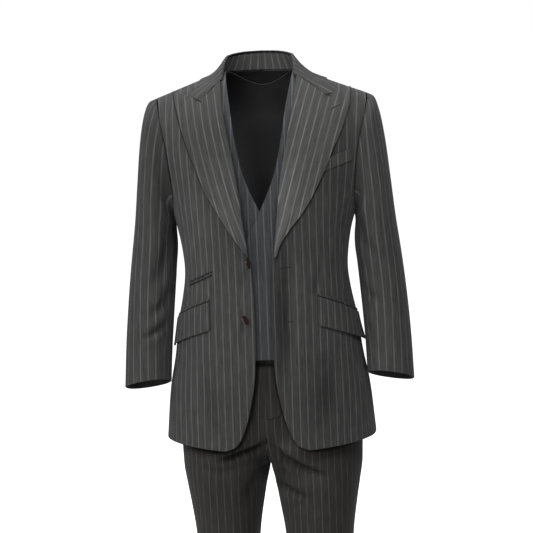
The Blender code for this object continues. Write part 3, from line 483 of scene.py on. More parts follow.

# %% [markdown]
# ## Painted light and shade
# Some of the light and shade is painted into the cloth's colour. There is a painted shadow along lines where
# another piece's edge lies on this one, and painted light and shade in soft patches and in the feet of folds.
# These are kept as values on the mesh's points, which the material reads. `beside` counts half widths from a
# line of painted shadow, `near` is that line's strength, and the tone is how much lighter or darker the cloth
# is painted there.

# %% Lines of painted shadow and patches of painted light and shade
# Soft patches of painted light and shade: the cloth is painted lighter or darker where more or less light falls
PAINTED_LIGHT_PATCHES = {
    "jacket_front_right": ((-0.140, -0.330, 0.040, 0.110, 0.30), (-0.060, -0.680, 0.050, 0.110, -0.10)),
    "jacket_side_right": ((-0.165, -0.330, 0.040, 0.120, 0.30),),
    "jacket_front_left": ((0.028, -0.520, 0.016, 0.180, -0.35), (0.110, -0.660, 0.060, 0.110, -0.28),
                          (0.160, -0.200, 0.030, 0.100, -0.25)),
    "lapel_left": ((0.060, -0.290, 0.070, 0.120, 0.95), (0.120, -0.120, 0.060, 0.080, 0.35)),
    "lapel_right": ((-0.060, -0.300, 0.060, 0.110, 0.55),),
    "collar_leaf": ((0.120, 0.010, 0.040, 0.040, -0.12),),
    "trouser_front_right": ((-0.012, -0.795, 0.030, 0.030, -0.55), (-0.030, -0.930, 0.030, 0.120, -0.45),
                            (-0.125, -0.800, 0.026, 0.024, 0.30), (-0.090, -0.860, 0.050, 0.060, -0.12)),
    "trouser_front_left": ((0.032, -0.762, 0.026, 0.014, 0.75), (0.030, -0.868, 0.012, 0.014, 0.35),
                           (0.165, -0.900, 0.030, 0.160, -0.30), (0.090, -0.835, 0.026, 0.022, 0.25)),
    "sleeve_top_right": ((-0.200, -0.250, 0.020, 0.140, -0.35),),
    "sleeve_top_left": ((0.225, -0.200, 0.020, 0.120, 0.30),),
}


def painted_patch_tone(node, grid):
    """The painted light and shade of the soft patches at every point of a grid: middle x and z, half width and
    height, amount.
    """
    painted_light_and_shade = np.zeros(grid.shape[:2])
    for x, z, wide, tall, amount in PAINTED_LIGHT_PATCHES.get(node, ()):
        painted_light_and_shade += amount * np.exp(-(((grid[..., 0] - x) / wide) ** 2) - ((grid[..., 2] - z) / tall) ** 2)
    return painted_light_and_shade


def painted_shadow_line(line, half_width, faded=0.012):
    """A line of painted shadow through places seen from the front, which fades beyond its ends."""

    def painted_shadow(grid):
        signed, _, over = beside_places(line, grid, open_ends=True)
        return signed / half_width, np.clip(1 - over / faded, 0, 1)

    return painted_shadow


print("patches:", sum(len(rows) for rows in PAINTED_LIGHT_PATCHES.values()))

# %% [markdown]
# ## The two sides aren't quite alike
# No one stands evenly, and a coat shows it. Here one armhole's seam sits further out, the cuffs run down to
# their outer side, and the sleeves swell a little below the armpits. They could be drafted apart, but a small
# move of the finished grid keeps one draft for both sides.

# %% A small difference between the two sides
SEAM_SHIFT = 0.009  # the wearer's left armhole seam sits this much further out in front
SEAM_LINE = ((-0.300, 0.181), (-0.200, 0.184), (-0.150, 0.190), (-0.100, 0.197), (-0.060, 0.203), (-0.030, 0.206))


SEAM_BAND = 0.026  # half the width of the cloth that moves with it
SEAM_FOOT = (-0.33, 0.08)  # the shift begins at this level and grows over this height
SEAM_TOP = (0.0, 0.05)  # it ends at the shoulder
SEAM_BEHIND = (0.01, 0.04)  # and towards the back
CUFF_DROP = 0.009
CUFF_SIDE = (0.20, 0.09)  # the drop begins at this x and grows over this width
CUFF_TOP = (-0.50, 0.12)  # and it grows from this level down
ARMPIT_FILL = (0.0045, 0.007)  # how far the right and left sleeves swell towards the body below the armpit
FILL_LEVEL = -0.285
FILL_BAND = 0.024
FILL_SIDE = (0.215, 0.02)  # only a sleeve's inner side swells, which begins here


def ramp(value, span):
    """0 before a span's beginning, and 1 beyond its length."""
    return np.clip((value - span[0]) / span[1], 0, 1)


def wide_armhole(grid):
    """How far the cloth beside the wearer's left armhole moves outwards."""
    x, y, z = grid[..., 0], grid[..., 1], grid[..., 2]
    seam = np.interp(z, *zip(*SEAM_LINE))
    level = ramp(z, SEAM_FOOT) * np.clip((SEAM_TOP[0] - z) / SEAM_TOP[1], 0, 1)
    before = np.clip((SEAM_BEHIND[0] - y) / SEAM_BEHIND[1], 0, 1)
    return SEAM_SHIFT * np.exp(-(((x - seam) / SEAM_BAND) ** 2)) * level * before


def low_cuff(grid):
    """How much lower a sleeve's outer side ends than its inner side."""
    below = np.clip((CUFF_TOP[0] - grid[..., 2]) / CUFF_TOP[1], 0, 1)
    return CUFF_DROP * ramp(grid[..., 0], CUFF_SIDE) * below**2


def armpit_fill(grid, side):
    """How far a sleeve's inner side swells towards the body just below the armpit."""
    level = np.exp(-(((grid[..., 2] - FILL_LEVEL) / FILL_BAND) ** 2))
    return ARMPIT_FILL[side > 0] * level * np.clip((FILL_SIDE[0] - grid[..., 0]) / FILL_SIDE[1], 0, 1)


print("cuffs are lower outside by", CUFF_DROP, "m, the left armhole wider by", SEAM_SHIFT, "m")

# %% [markdown]
# ## From a surface to a piece
# A surface is a function of two shares, u across the piece and v up it. `cloth` reads it on the grid, moves
# the points along the cloth's own direction for creases, gives it two faces and hands it to the model, where
# it stands for the plain solid of the same name.

# %% Cloth from a surface
PIECES = {}
SEAM_CLOSE = 0.0005  # how far two edges are drawn over the gap between them
HEAD_CLOSE = 0.0018  # and a sleeve's head into its armhole
# Painted shade in the feet of folds: the cloth's colour is made darker there
FOLD_SHADE = 0.55  # how much darker a fold's foot is
SHADE_DEPTH = 0.006  # at this depth


def added(name, data):
    """A new object in the scene, made of this mesh, lamp or camera."""
    item = bpy.data.objects.new(name, data)
    bpy.context.scene.collection.objects.link(item)
    return item


def mesh_from(name, points, faces, uv, looks, inner_from, values):
    """A smooth mesh whose faces after inner_from are the cloth's inner face."""
    mesh = bpy.data.meshes.new(name)
    mesh.from_pydata(points.tolist(), [], faces.tolist())
    for label, value in values.items():
        mesh.attributes.new(label, "FLOAT", "POINT").data.foreach_set("value", value.astype(np.float32))
    layer = mesh.uv_layers.new(name="cloth")
    corner_points = np.empty(len(mesh.loops), dtype=np.int32)
    mesh.loops.foreach_get("vertex_index", corner_points)
    layer.data.foreach_set("uv", uv[corner_points].astype(np.float32).ravel())
    for look in looks:
        mesh.materials.append(look)
    if len(looks) > 1:
        index = np.zeros(len(mesh.polygons), dtype=np.int32)
        index[inner_from:] = 1
        mesh.polygons.foreach_set("material_index", index)
    mesh.shade_smooth()
    return added(name, mesh)


def sew(grid, edges):
    """Draws a piece's edges over the seam's gap: its first and last columns (a, z) and rows (A, Z)."""
    for edge, line, beside in (("a", np.s_[:, 0], np.s_[:, 1]), ("z", np.s_[:, -1], np.s_[:, -2]),
                               ("A", np.s_[0], np.s_[1]), ("Z", np.s_[-1], np.s_[-2])):
        if edge in edges:
            away = grid[line] - grid[beside]
            away /= np.linalg.norm(away, axis=1, keepdims=True)
            grid[line] += away * (HEAD_CLOSE if edge == "A" else SEAM_CLOSE)


def cloth(node, surface, step, looks, slot, facing=1, side=1, faces=(-CLOTH, 0.0), grain=level_grain,
          creases=None, bend=(0.0, 0.0), sewn="", stands=True, painted_shadow=None):
    """A piece of cloth with rounded edges that stands for a CAD node."""
    us, across = lines(surface, step, False, bend[0])
    vs, upward = lines(surface, step, True, bend[1])
    grid = np.array([[surface(u, v) for u in us] for v in vs])
    out = facing * np.cross(np.gradient(grid, axis=1), np.gradient(grid, axis=0))
    out /= np.linalg.norm(out, axis=2, keepdims=True)
    s, t = grain(grid)
    sew(grid, sewn)
    if side > 0 and slot == "jacket_cloth":
        grid[..., 0] += wide_armhole(grid)
    if node.startswith("sleeve"):
        grid[..., 2] -= low_cuff(grid)
        grid[..., 0] -= armpit_fill(grid, side)
    grid[..., 0] *= side
    out[..., 0] *= side
    thick = rounding(upward)[:, None] * rounding(across)[None, :]
    middle, half = (faces[0] + faces[1]) / 2, (faces[1] - faces[0]) / 2
    relief = folded(node)(grid) + (creases(grid) if creases else 0.0)
    # Painted shadow beside contact lines, and painted light and shade from the soft patches and the feet of folds
    beside, near = painted_shadow(grid) if painted_shadow else (thick * 9, thick * 0)
    values = {"painted_light_and_shade": painted_patch_tone(node, grid) - FOLD_SHADE * np.clip(-relief / SHADE_DEPTH, 0, 1),
              "beside": beside, "near": near * np.ones_like(thick)}
    upper = grid + out * (middle + relief + half * thick)[..., None]
    lower = grid + out * (middle + relief - half * thick)[..., None]
    rows, columns = thick.shape
    number = np.arange(rows * columns).reshape(rows, columns)
    under = number.copy()
    under[1:-1, 1:-1] = rows * columns + np.arange((rows - 2) * (columns - 2)).reshape(rows - 2, columns - 2)

    def quads(order, outward):
        corners = (order[:-1, :-1], order[:-1, 1:], order[1:, 1:], order[1:, :-1])
        ring = np.stack(corners if outward else corners[::-1], axis=-1)
        return ring.reshape(-1, 4)

    outward = facing * side > 0
    all_faces = np.concatenate([quads(number, outward), quads(under, not outward)])
    points = np.concatenate([upper.reshape(-1, 3), lower[1:-1, 1:-1].reshape(-1, 3)])
    uv = np.stack([s, t], axis=-1)
    uv = np.concatenate([uv.reshape(-1, 2), uv[1:-1, 1:-1].reshape(-1, 2)])
    values = {label: np.concatenate([value.ravel(), value[1:-1, 1:-1].ravel()])
              for label, value in values.items()}
    piece = mesh_from(f"{node}_cloth", points, all_faces, uv, looks, (rows - 1) * (columns - 1), values)
    sides = np.linalg.norm(np.cross(np.diff(grid, axis=1)[:-1], np.diff(grid, axis=0)[:, :-1]), axis=2)
    width, length, area = running(grid, 1)[:, -1].max(), running(grid, 0)[-1].max(), sides.sum()
    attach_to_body(piece, "root")
    if stands:
        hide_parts(node)
    PIECES[node] = piece
    print(f"{node}: {width:.3f} x {length:.3f} m, {area:.4f} m2, {2 * len(all_faces)} triangles")
    return piece


print("edges are drawn together by", SEAM_CLOSE, "m, sleeve heads by", HEAD_CLOSE, "m")

# %% [markdown]
# ## Striped wool
# The cloth of such a suit is a worsted: fine yarns in a twill, whose diagonal ribs are half a
# millimetre apart, in a grey that is mixed from lighter and darker fibres. Every fifteen millimetres a few
# light yarns make a stripe, broken into fine dots where they pass under the others. All three garments use
# one shader node group, with their own colours, so it is built once. It puts out a colour, a roughness and a
# height for the Bump node.

# %% A group of worsted nodes
STRIPE_WIDTH = 0.0023
TWILL_PITCH = 0.00075  # along the cloth; the ribs themselves are half a millimetre apart
DOT_PITCH = 0.0016


def new_group(name, sockets_in, sockets_out):
    """An empty node group with its sockets, and helpers that add and join nodes in it."""
    group = bpy.data.node_groups.new(name, "ShaderNodeTree")
    for label, kind, value in sockets_in:
        socket = group.interface.new_socket(label, in_out="INPUT", socket_type=kind)
        socket.default_value = value
    for label, kind in sockets_out:
        group.interface.new_socket(label, in_out="OUTPUT", socket_type=kind)
    start = group.nodes.new("NodeGroupInput")
    end = group.nodes.new("NodeGroupOutput")
    return group, start, end


def attach(tree, value, socket):
    if isinstance(value, bpy.types.NodeSocket):
        tree.links.new(value, socket)
    else:
        socket.default_value = value


def calculate(tree, operation, *values):
    """A Math node."""
    node = tree.nodes.new("ShaderNodeMath")
    node.operation = operation
    for value, socket in zip(values, node.inputs):
        attach(tree, value, socket)
    return node.outputs[0]


def soft_step(tree, value, low, high):
    node = tree.nodes.new("ShaderNodeMapRange")
    node.interpolation_type = "SMOOTHSTEP"
    attach(tree, value, node.inputs["Value"])
    node.inputs["From Min"].default_value = low
    node.inputs["From Max"].default_value = high
    return node.outputs["Result"]


def blend_colours(tree, share, first, second):
    node = tree.nodes.new("ShaderNodeMix")
    node.data_type = "RGBA"
    attach(tree, share, node.inputs["Factor"])
    attach(tree, first, node.inputs["A"])
    attach(tree, second, node.inputs["B"])
    return node.outputs["Result"]


def noise(tree, place, scale, detail=2.0):
    node = tree.nodes.new("ShaderNodeTexNoise")
    node.inputs["Scale"].default_value = scale
    node.inputs["Detail"].default_value = detail
    attach(tree, place, node.inputs["Vector"])
    return node.outputs["Fac"]


def value_of(tree, label):
    """A value that is kept on the mesh's points."""
    node = tree.nodes.new("ShaderNodeAttribute")
    node.attribute_name = label
    return node.outputs["Fac"]


def drawn_out(tree, place, stretch):
    """A place whose pattern is drawn out where the stretch is small."""
    node = tree.nodes.new("ShaderNodeVectorMath")
    node.operation = "MULTIPLY"
    node.inputs[1].default_value = stretch
    attach(tree, place, node.inputs[0])
    return node.outputs[0]


def new_material(name):
    """A material with its nodes and its Principled shader."""
    material = bpy.data.materials.new(name)
    material.use_nodes = True
    return material, material.node_tree, material.node_tree.nodes["Principled BSDF"]


def raised(tree, shader, height, strength, distance):
    """Lets a height turn the shader's normals."""
    bump = tree.nodes.new("ShaderNodeBump")
    bump.inputs["Strength"].default_value = strength
    bump.inputs["Distance"].default_value = distance
    attach(tree, height, bump.inputs["Height"])
    attach(tree, bump.outputs[0], shader.inputs["Normal"])


def cloth_place(tree):
    """A place in the cloth's own measure."""
    node = tree.nodes.new("ShaderNodeUVMap")
    node.uv_map = "cloth"
    return node.outputs[0]


def worsted_group():
    group, start, end = new_group(
        "worsted",
        [("Place", "NodeSocketVector", (0, 0, 0)), ("Cloth", "NodeSocketColor", (0.05, 0.05, 0.05, 1)),
         ("Stripe", "NodeSocketColor", (0.2, 0.2, 0.2, 1)), ("Spacing", "NodeSocketFloat", STRIPE_SPACING),
         ("Width", "NodeSocketFloat", STRIPE_WIDTH), ("Strength", "NodeSocketFloat", 1.0),
         ("Shift", "NodeSocketFloat", 0.0)],
        [("Colour", "NodeSocketColor"), ("Roughness", "NodeSocketFloat"), ("Height", "NodeSocketFloat")],
    )
    do = partial(calculate, group)
    split = group.nodes.new("ShaderNodeSeparateXYZ")
    group.links.new(start.outputs["Place"], split.inputs[0])
    across, along = split.outputs[0], split.outputs[1]
    diagonal = do("MULTIPLY", do("ADD", across, along), 2 * math.pi / TWILL_PITCH)
    rib = do("MULTIPLY_ADD", do("SINE", diagonal), 0.5, 0.5)
    mottle = noise(group, start.outputs["Place"], 60.0, 3.0)
    melange = noise(group, start.outputs["Place"], 900.0, 2.0)
    yarn = noise(group, drawn_out(group, start.outputs["Place"], (1.0, 0.07, 1.0)), 330.0, 2.0)
    shade = do("MULTIPLY_ADD", mottle, 0.30, 0.85)
    for part, amount, base in ((yarn, 1.1, 0.45), (melange, 0.5, 0.75), (rib, 0.24, 0.88)):
        shade = do("MULTIPLY", shade, do("MULTIPLY_ADD", part, amount, base))
    place = do("DIVIDE", do("ADD", across, start.outputs["Shift"]), start.outputs["Spacing"])
    fraction = do("ABSOLUTE", do("SUBTRACT", do("FRACT", place), 0.5))
    distance = do("MULTIPLY", fraction, start.outputs["Spacing"])
    share = do("DIVIDE", distance, start.outputs["Width"])
    line = do("SUBTRACT", 1.0, soft_step(group, share, 0.0, 0.9))
    dots = do("SINE", do("MULTIPLY", along, 2 * math.pi / DOT_PITCH))
    dots = do("MULTIPLY_ADD", dots, 0.25, 0.75)
    line = do("MULTIPLY", do("MULTIPLY", line, dots), start.outputs["Strength"])
    colour = blend_colours(group, line, start.outputs["Cloth"], start.outputs["Stripe"])
    shaded = group.nodes.new("ShaderNodeVectorMath")
    shaded.operation = "SCALE"
    group.links.new(colour, shaded.inputs[0])
    # Painted light and shade: the colour is made lighter or darker by the patches and folds' feet, darker along
    # painted shadow lines
    shade = do("MULTIPLY", shade, do("ADD", value_of(group, "painted_light_and_shade"), 1.0))
    away = do("ABSOLUTE", value_of(group, "beside"))
    painted_shadow = do("MULTIPLY", do("SUBTRACT", 1.0, soft_step(group, away, 0.0, 1.0)),
                        value_of(group, "near"))
    shade = do("MULTIPLY", shade, do("MULTIPLY_ADD", painted_shadow, -0.92, 1.0))
    group.links.new(shade, shaded.inputs["Scale"])
    group.links.new(shaded.outputs[0], end.inputs["Colour"])
    group.links.new(do("MULTIPLY_ADD", mottle, 0.12, 0.76), end.inputs["Roughness"])
    height = do("ADD", do("MULTIPLY", rib, 0.6), do("MULTIPLY", melange, 0.4))
    group.links.new(height, end.inputs["Height"])
    return group


WORSTED = worsted_group()
print("worsted sockets:", [item.name for item in WORSTED.interface.items_tree])

# %% The garments' cloths
def wool(name, cloth_colour, stripe_colour, shift=0.0, strength=1.0, sheen=0.08):
    """A material of striped worsted in these colours."""
    material, tree, shader = new_material(name)
    node = tree.nodes.new("ShaderNodeGroup")
    node.node_tree = WORSTED
    attach(tree, cloth_place(tree), node.inputs["Place"])
    node.inputs["Cloth"].default_value = (*cloth_colour, 1)
    node.inputs["Stripe"].default_value = (*stripe_colour, 1)
    node.inputs["Shift"].default_value = shift
    node.inputs["Strength"].default_value = strength
    raised(tree, shader, node.outputs["Height"], 0.35, 0.0004)
    tree.links.new(node.outputs["Colour"], shader.inputs["Base Color"])
    tree.links.new(node.outputs["Roughness"], shader.inputs["Roughness"])
    shader.inputs["Specular IOR Level"].default_value = 0.15
    shader.inputs["Sheen Weight"].default_value = sheen
    shader.inputs["Sheen Roughness"].default_value = 0.45
    shader.inputs["Sheen Tint"].default_value = (0.75, 0.76, 0.80, 1)
    return material


JACKET_WOOL = wool("jacket_worsted", (0.0432, 0.0425, 0.0416), (0.104, 0.105, 0.108))
WAISTCOAT_WOOL = wool("waistcoat_worsted", (0.0425, 0.0440, 0.0470), (0.102, 0.105, 0.111))
# The trousers' cloth is set darker than the coat's cloth of the same suit: painted shade for legs that lie in the
# coat's shade
TROUSER_WOOL = wool("trouser_worsted", (0.0265, 0.0250, 0.0232), (0.066, 0.064, 0.061), strength=0.85)

print("wools:", [look.name for look in (JACKET_WOOL, WAISTCOAT_WOOL, TROUSER_WOOL)])

# %% [markdown]
# ## Lining
# Inside, a coat is faced with a smooth twill of viscose. It is darker than the wool and shines a little.

# %% The lining
def lining_material():
    material, tree, shader = new_material("viscose_lining")
    place = cloth_place(tree)
    fine = noise(tree, place, 700.0, 2.0)
    broad = noise(tree, place, 40.0, 2.0)
    colour = blend_colours(tree, fine, (0.026, 0.026, 0.028, 1), (0.045, 0.045, 0.048, 1))
    tree.links.new(colour, shader.inputs["Base Color"])
    tree.links.new(calculate(tree, "MULTIPLY_ADD", broad, 0.2, 0.40), shader.inputs["Roughness"])
    raised(tree, shader, fine, 0.2, 0.0002)
    return material


LINING = lining_material()

print("lining:", LINING.name)

# %% [markdown]
# ## Horn and thread
# Horn is dark brown with paler streaks, and is polished, so that it shines at its rim. Silk thread is matt and
# finely ribbed. Both take their patterns from the object's own coordinates.

# %% Horn, thread and the painted shade of slits
def streaked(name, scale, dark, light, roughness, stretch, bump_distance):
    """A material whose noise is drawn out along one direction."""
    material, tree, shader = new_material(name)
    where = tree.nodes.new("ShaderNodeTexCoord")
    streaks = noise(tree, drawn_out(tree, where.outputs["Object"], stretch), scale, 3.0)
    colour = blend_colours(tree, soft_step(tree, streaks, 0.35, 0.75), dark, light)
    tree.links.new(colour, shader.inputs["Base Color"])
    tree.links.new(calculate(tree, "MULTIPLY_ADD", streaks, 0.15, roughness - 0.07), shader.inputs["Roughness"])
    raised(tree, shader, streaks, 0.3, bump_distance)
    return material


HORN = streaked("horn", 260.0, (0.010, 0.007, 0.006, 1), (0.042, 0.026, 0.020, 1),
                0.32, (1.0, 0.25, 1.0), 0.00005)
THREAD = streaked("silk_thread", 2200.0, (0.016, 0.016, 0.017, 1), (0.034, 0.034, 0.036, 1),
                  0.6, (1, 1, 1), 0.0001)
# A near-black material laid in slits, pocket mouths and notches, where there is only shade: painted shade
PAINTED_SLIT_SHADE = streaked("slit_shade", 1500.0, (0.004, 0.004, 0.004, 1), (0.010, 0.010, 0.010, 1),
                0.9, (1, 1, 1), 0.0001)


print("small looks:", [look.name for look in (HORN, THREAD, PAINTED_SLIT_SHADE)])

# %% [markdown]
# ## The jacket's fronts, backs and sides
# The body of the coat is six panels. A front runs from its edge and the lapel's roll to the side seam, a
# side panel goes under the arm, and two backs meet on a centre seam. Each panel is one surface with two
# shares: u runs across it and v runs from the hem up.

# %% Measures of the coat's body
NECK_X = 0.085
SHOULDER_X = 0.213
PIT_Z = -0.285
ARMPIT_GAP = 0.0038  # the side panel stops this far below the sleeve at the armpit
JOIN_Z = -0.262  # where the side panel's seams meet the armhole
HEM_Z = -0.752
BACK_SEAM_SHARE = 0.86  # where the back's side seam runs at the hem, as a share of the width
SIDE_TOP = (0.8, 1.0)  # the side panel's lines turn to the armhole between these shares
SEAM_SETTLE = 0.12  # the side seams leave the armhole's foot over this height
FRONT_TURN = 66.0  # how far round the body the front and the back reach, for spacing their lines
BACK_TURN = 57.0
BACK_UPPER = 0.62  # the share of the back's lines that lie below the armhole's foot
BACK_NECK = 0.90  # and the share below the nape
BACK_NECK_POWER = 1.6  # how the back neckline rises to the shoulder
NAPE_DROP = 0.026  # from the top of the ridge to the back neckline
BLADE_RISE = 0.020  # how much higher the back's level lines are at its centre
BLADE_Z = -0.107  # where the line through the nape ends at the armhole
SEAM_TURN = 0.13  # the same gap on a panel's edge, in degrees round the body
SHOULDER_Z = JACKET.ridge(SHOULDER_X)
PIT_JOIN = (SHOULDER_Z - JOIN_Z) / (SHOULDER_Z - PIT_Z)
FRONT_ROWS = table(
    "row edge_x edge_z seam_z",
    (0, 0.0860, -0.7610, HEM_Z),
    (1, 0.0620, -0.7500, -0.728),
    (2, 0.0465, -0.7230, -0.700),
    (3, 0.0330, -0.6800, -0.662),
    (4, 0.0220, -0.6200, -0.610),
    (5, 0.0180, -0.5600, -0.555),
    (6, 0.0175, -0.5000, -0.500),
    (7, 0.0185, -0.4400, -0.442),
    (8, 0.0200, -0.4120, -0.413),
    (9, 0.0225, -0.3850, -0.385),
    (10, 0.0300, -0.3280, -0.328),
    (11, 0.0380, -0.2650, JOIN_Z),
    (12, 0.0455, -0.2130, -0.226),
    (13, 0.0560, -0.1600, -0.183),
    (14, 0.0660, -0.1080, -0.137),
    (15, 0.0735, -0.0600, -0.096),
)
ARMHOLE = table(
    "down front back",
    (0.0, 0.0, 0.0),
    (0.2, 0.0080, 0.0070),
    (0.45, 0.0145, 0.0120),
    (0.65, 0.0140, 0.0120),
    (0.82, 0.0120, 0.0110),
    (0.93, 0.0085, 0.0085),
    (1.0, 0.0, 0.0),
)

print("shoulder point:", SHOULDER_X, round(SHOULDER_Z, 4), "armhole depth:", round(SHOULDER_Z - PIT_Z, 3))

# %% The armhole and the side seams
def armhole(down, face):
    """The armhole's seam, from the shoulder (0) to the armpit (1)."""
    z = mix(SHOULDER_Z, PIT_Z, down)
    inset = read(ARMHOLE, down, "front" if face < 0 else "back")
    x = mix(SHOULDER_X, JACKET.width(PIT_Z), down) - inset
    return JACKET.at(x, z, face)


def seam_share(face):
    """How far across the body the side panel's seam runs, as a share of its width."""
    join = armhole(PIT_JOIN, face)
    return join.x / JACKET.width(join.z)


def outer_edge(z, face, hem_share):
    """The outer edge of a front or back: the side seam, then the armhole."""
    join = armhole(PIT_JOIN, face)
    if z < join.z:
        share = mix(seam_share(face), hem_share, ease(join.z - z, 0.0, SEAM_SETTLE))
        return share * JACKET.width(z) - SEAM / 2
    return armhole((SHOULDER_Z - z) / (SHOULDER_Z - PIT_Z), face).x - SEAM / 2


print("side panel's front seam runs at", round(seam_share(-1), 3), "of the width")

# %% The three panels of one side
def jacket_front(u, v):
    """From the front edge and the lapel's roll (u = 0) to the side seam, hem (v = 0) to shoulder."""
    u = spread(u, FRONT_TURN)
    last = len(FRONT_ROWS["rows"])
    row = v * last
    if row < last - 1:
        x0, z0, z1 = reads(FRONT_ROWS, row, "edge_x edge_z seam_z")
    else:
        low, share = FRONT_ROWS["rows"][-1], row - (last - 1)
        x0, z0 = mix(low[1], NECK_X, share), mix(low[2], JACKET.ridge(NECK_X), share)
        z1 = mix(low[3], SHOULDER_Z, share)
    x1 = outer_edge(z1, -1, seam_share(-1))
    return JACKET.at(mix(x0, x1, u), mix(z0, z1, u), -1)


def jacket_back(u, v):
    """From the centre back (u = 0) to the side seam and the armhole, hem (v = 0) to shoulder."""
    u = spread(u, BACK_TURN)
    nape = JACKET.ridge(0) - NAPE_DROP
    if v < BACK_UPPER:
        z0 = mix(HEM_Z, JOIN_Z + BLADE_RISE, v / BACK_UPPER)
        z1 = mix(HEM_Z, JOIN_Z, v / BACK_UPPER)
        x0 = SEAM / 2
    elif v < BACK_NECK:
        share = (v - BACK_UPPER) / (BACK_NECK - BACK_UPPER)
        z0 = mix(JOIN_Z + BLADE_RISE, nape, share)
        z1 = mix(JOIN_Z, BLADE_Z, share)
        x0 = SEAM / 2
    else:
        share = (v - BACK_NECK) / (1 - BACK_NECK)
        x0 = mix(SEAM / 2, NECK_X, share)
        z0 = mix(nape, JACKET.ridge(NECK_X), share**BACK_NECK_POWER)
        z1 = mix(BLADE_Z, SHOULDER_Z, share)
    x1 = outer_edge(z1, 1, BACK_SEAM_SHARE)
    return JACKET.at(mix(x0, x1, u), mix(z0, z1, u), 1)


def jacket_side(u, v):
    """Round the side from the front seam (u = 0) to the back seam, hem to armhole."""
    face = -1 if u < 0.5 else 1
    upper = armhole(mix(PIT_JOIN, 1, 1 - abs(2 * u - 1)), face)
    upper_turn = JACKET.turn_at(upper.x, upper.z)
    z = mix(HEM_Z, upper.z - ARMPIT_GAP * (1 - abs(2 * u - 1)), v)
    front_turn = JACKET.turn_at(seam_share(-1) * JACKET.width(z), z) + SEAM_TURN
    back_share = mix(seam_share(1), BACK_SEAM_SHARE, ease(upper.z - z, 0.0, SEAM_SETTLE))
    back_turn = 180 - JACKET.turn_at(back_share * JACKET.width(z), z) - SEAM_TURN
    top_turn = (upper_turn if face < 0 else 180 - upper_turn) + SEAM_TURN * (1 - 2 * u)
    return JACKET.round(mix(mix(front_turn, back_turn, u), top_turn, ease(v, *SIDE_TOP)), z)


print("front's hem to neck:", round((jacket_front(0, 1) - jacket_front(0, 0)).length, 3), "m")

# %% [markdown]
# ## Sleeves
# A sleeve is a tube in two strips, a wide top one and a narrow under one. Its rings are given by their outer
# and inner points, and near the shoulder they bend to the armhole's curve, where the two are sewn.

# %% The sleeve's rings
RIGHT_ARM = Vector((0, 0, -0.010))  # the wearer's right sleeve hangs this much lower
SLEEVE_POWER = 0.93  # 1 would make its rings ellipses
SLEEVE_HEAD = 0.16  # the share of its length in which the rings leave the armhole
SLEEVE_FRONT_SEAM = -128.0
SLEEVE_BACK_SEAM = 122.0
SEAM_ANGLE = 0.15  # the same gap round a sleeve
SLEEVE = table(
    "along outer_x outer_z inner_x inner_z middle_y depth tilt",
    (0.00, 0.2130, -0.0560, 0.1860, -0.2850, 0.000, 0.083, 0.0),
    (0.06, 0.2285, -0.0640, 0.1880, -0.2920, 0.001, 0.082, 0.0),
    (0.14, 0.2380, -0.0920, 0.1880, -0.3060, 0.001, 0.080, 0.0),
    (0.26, 0.2480, -0.1500, 0.1850, -0.3310, 0.002, 0.076, 0.0),
    (0.40, 0.2565, -0.2250, 0.1845, -0.3640, 0.004, 0.072, 0.0),
    (0.54, 0.2650, -0.3050, 0.1880, -0.3980, 0.005, 0.068, 2.0),
    (0.68, 0.2770, -0.3950, 0.1925, -0.4480, 0.002, 0.064, 6.0),
    (0.80, 0.2855, -0.4750, 0.1970, -0.5020, -0.006, 0.060, 11.0),
    (0.90, 0.2915, -0.5500, 0.2010, -0.5580, -0.018, 0.056, 15.0),
    (1.00, 0.2955, -0.6270, 0.2040, -0.6220, -0.034, 0.053, 18.0),
)


def signed_power(value, power):
    """A power that keeps its value's sign."""
    return math.copysign(abs(value) ** power, value)


def sleeve(side, from_angle, to_angle):
    """A strip of the sleeve between two angles: 0 is its outer side, -90 its front, 90 its back."""

    def ring(angle, along):
        names = "outer_x outer_z inner_x inner_z middle_y depth tilt"
        outer_x, outer_z, inner_x, inner_z, middle_y, depth, tilt = reads(SLEEVE, along, names)
        outer, inner, tilt = Vector((outer_x, 0, outer_z)), Vector((inner_x, 0, inner_z)), math.radians(tilt)
        backward = Vector((0, math.cos(tilt), -math.sin(tilt))) * depth
        middle = (outer + inner) / 2 + Vector((0, middle_y, 0))
        turn = math.radians(angle)
        across = signed_power(math.cos(turn), SLEEVE_POWER)
        deep = signed_power(math.sin(turn), SLEEVE_POWER)
        place = middle + (outer - inner) / 2 * across + backward * deep
        return place + RIGHT_ARM * along**2 if side < 0 else place

    def seam(angle):
        down = (1 - math.cos(math.radians(angle))) / 2
        return armhole(down, -1 if angle < 0 else 1) + Vector((SEAM, 0, 0))

    def surface(u, v):
        angle = mix(from_angle, to_angle, u)
        wrapped = angle if angle <= 180 else angle - 360
        fading = max(1 - v / SLEEVE_HEAD, 0.0) ** 2
        return ring(wrapped, v) + (seam(wrapped) - ring(wrapped, 0)) * fading

    return surface


print("cuff's lowest point:", round(sleeve(1, -90, 90)(0.5, 1.0).z, 3))

# %% [markdown]
# ## The collar's stand
# A collar rises from the neckline to a fold and falls back over it. The part that rises is the stand, and it
# is what holds the collar up. Here the fold is one line of places round the neck, from which both the stand
# and the leaf are read, so the two always meet. The stand lies just inside the fold.

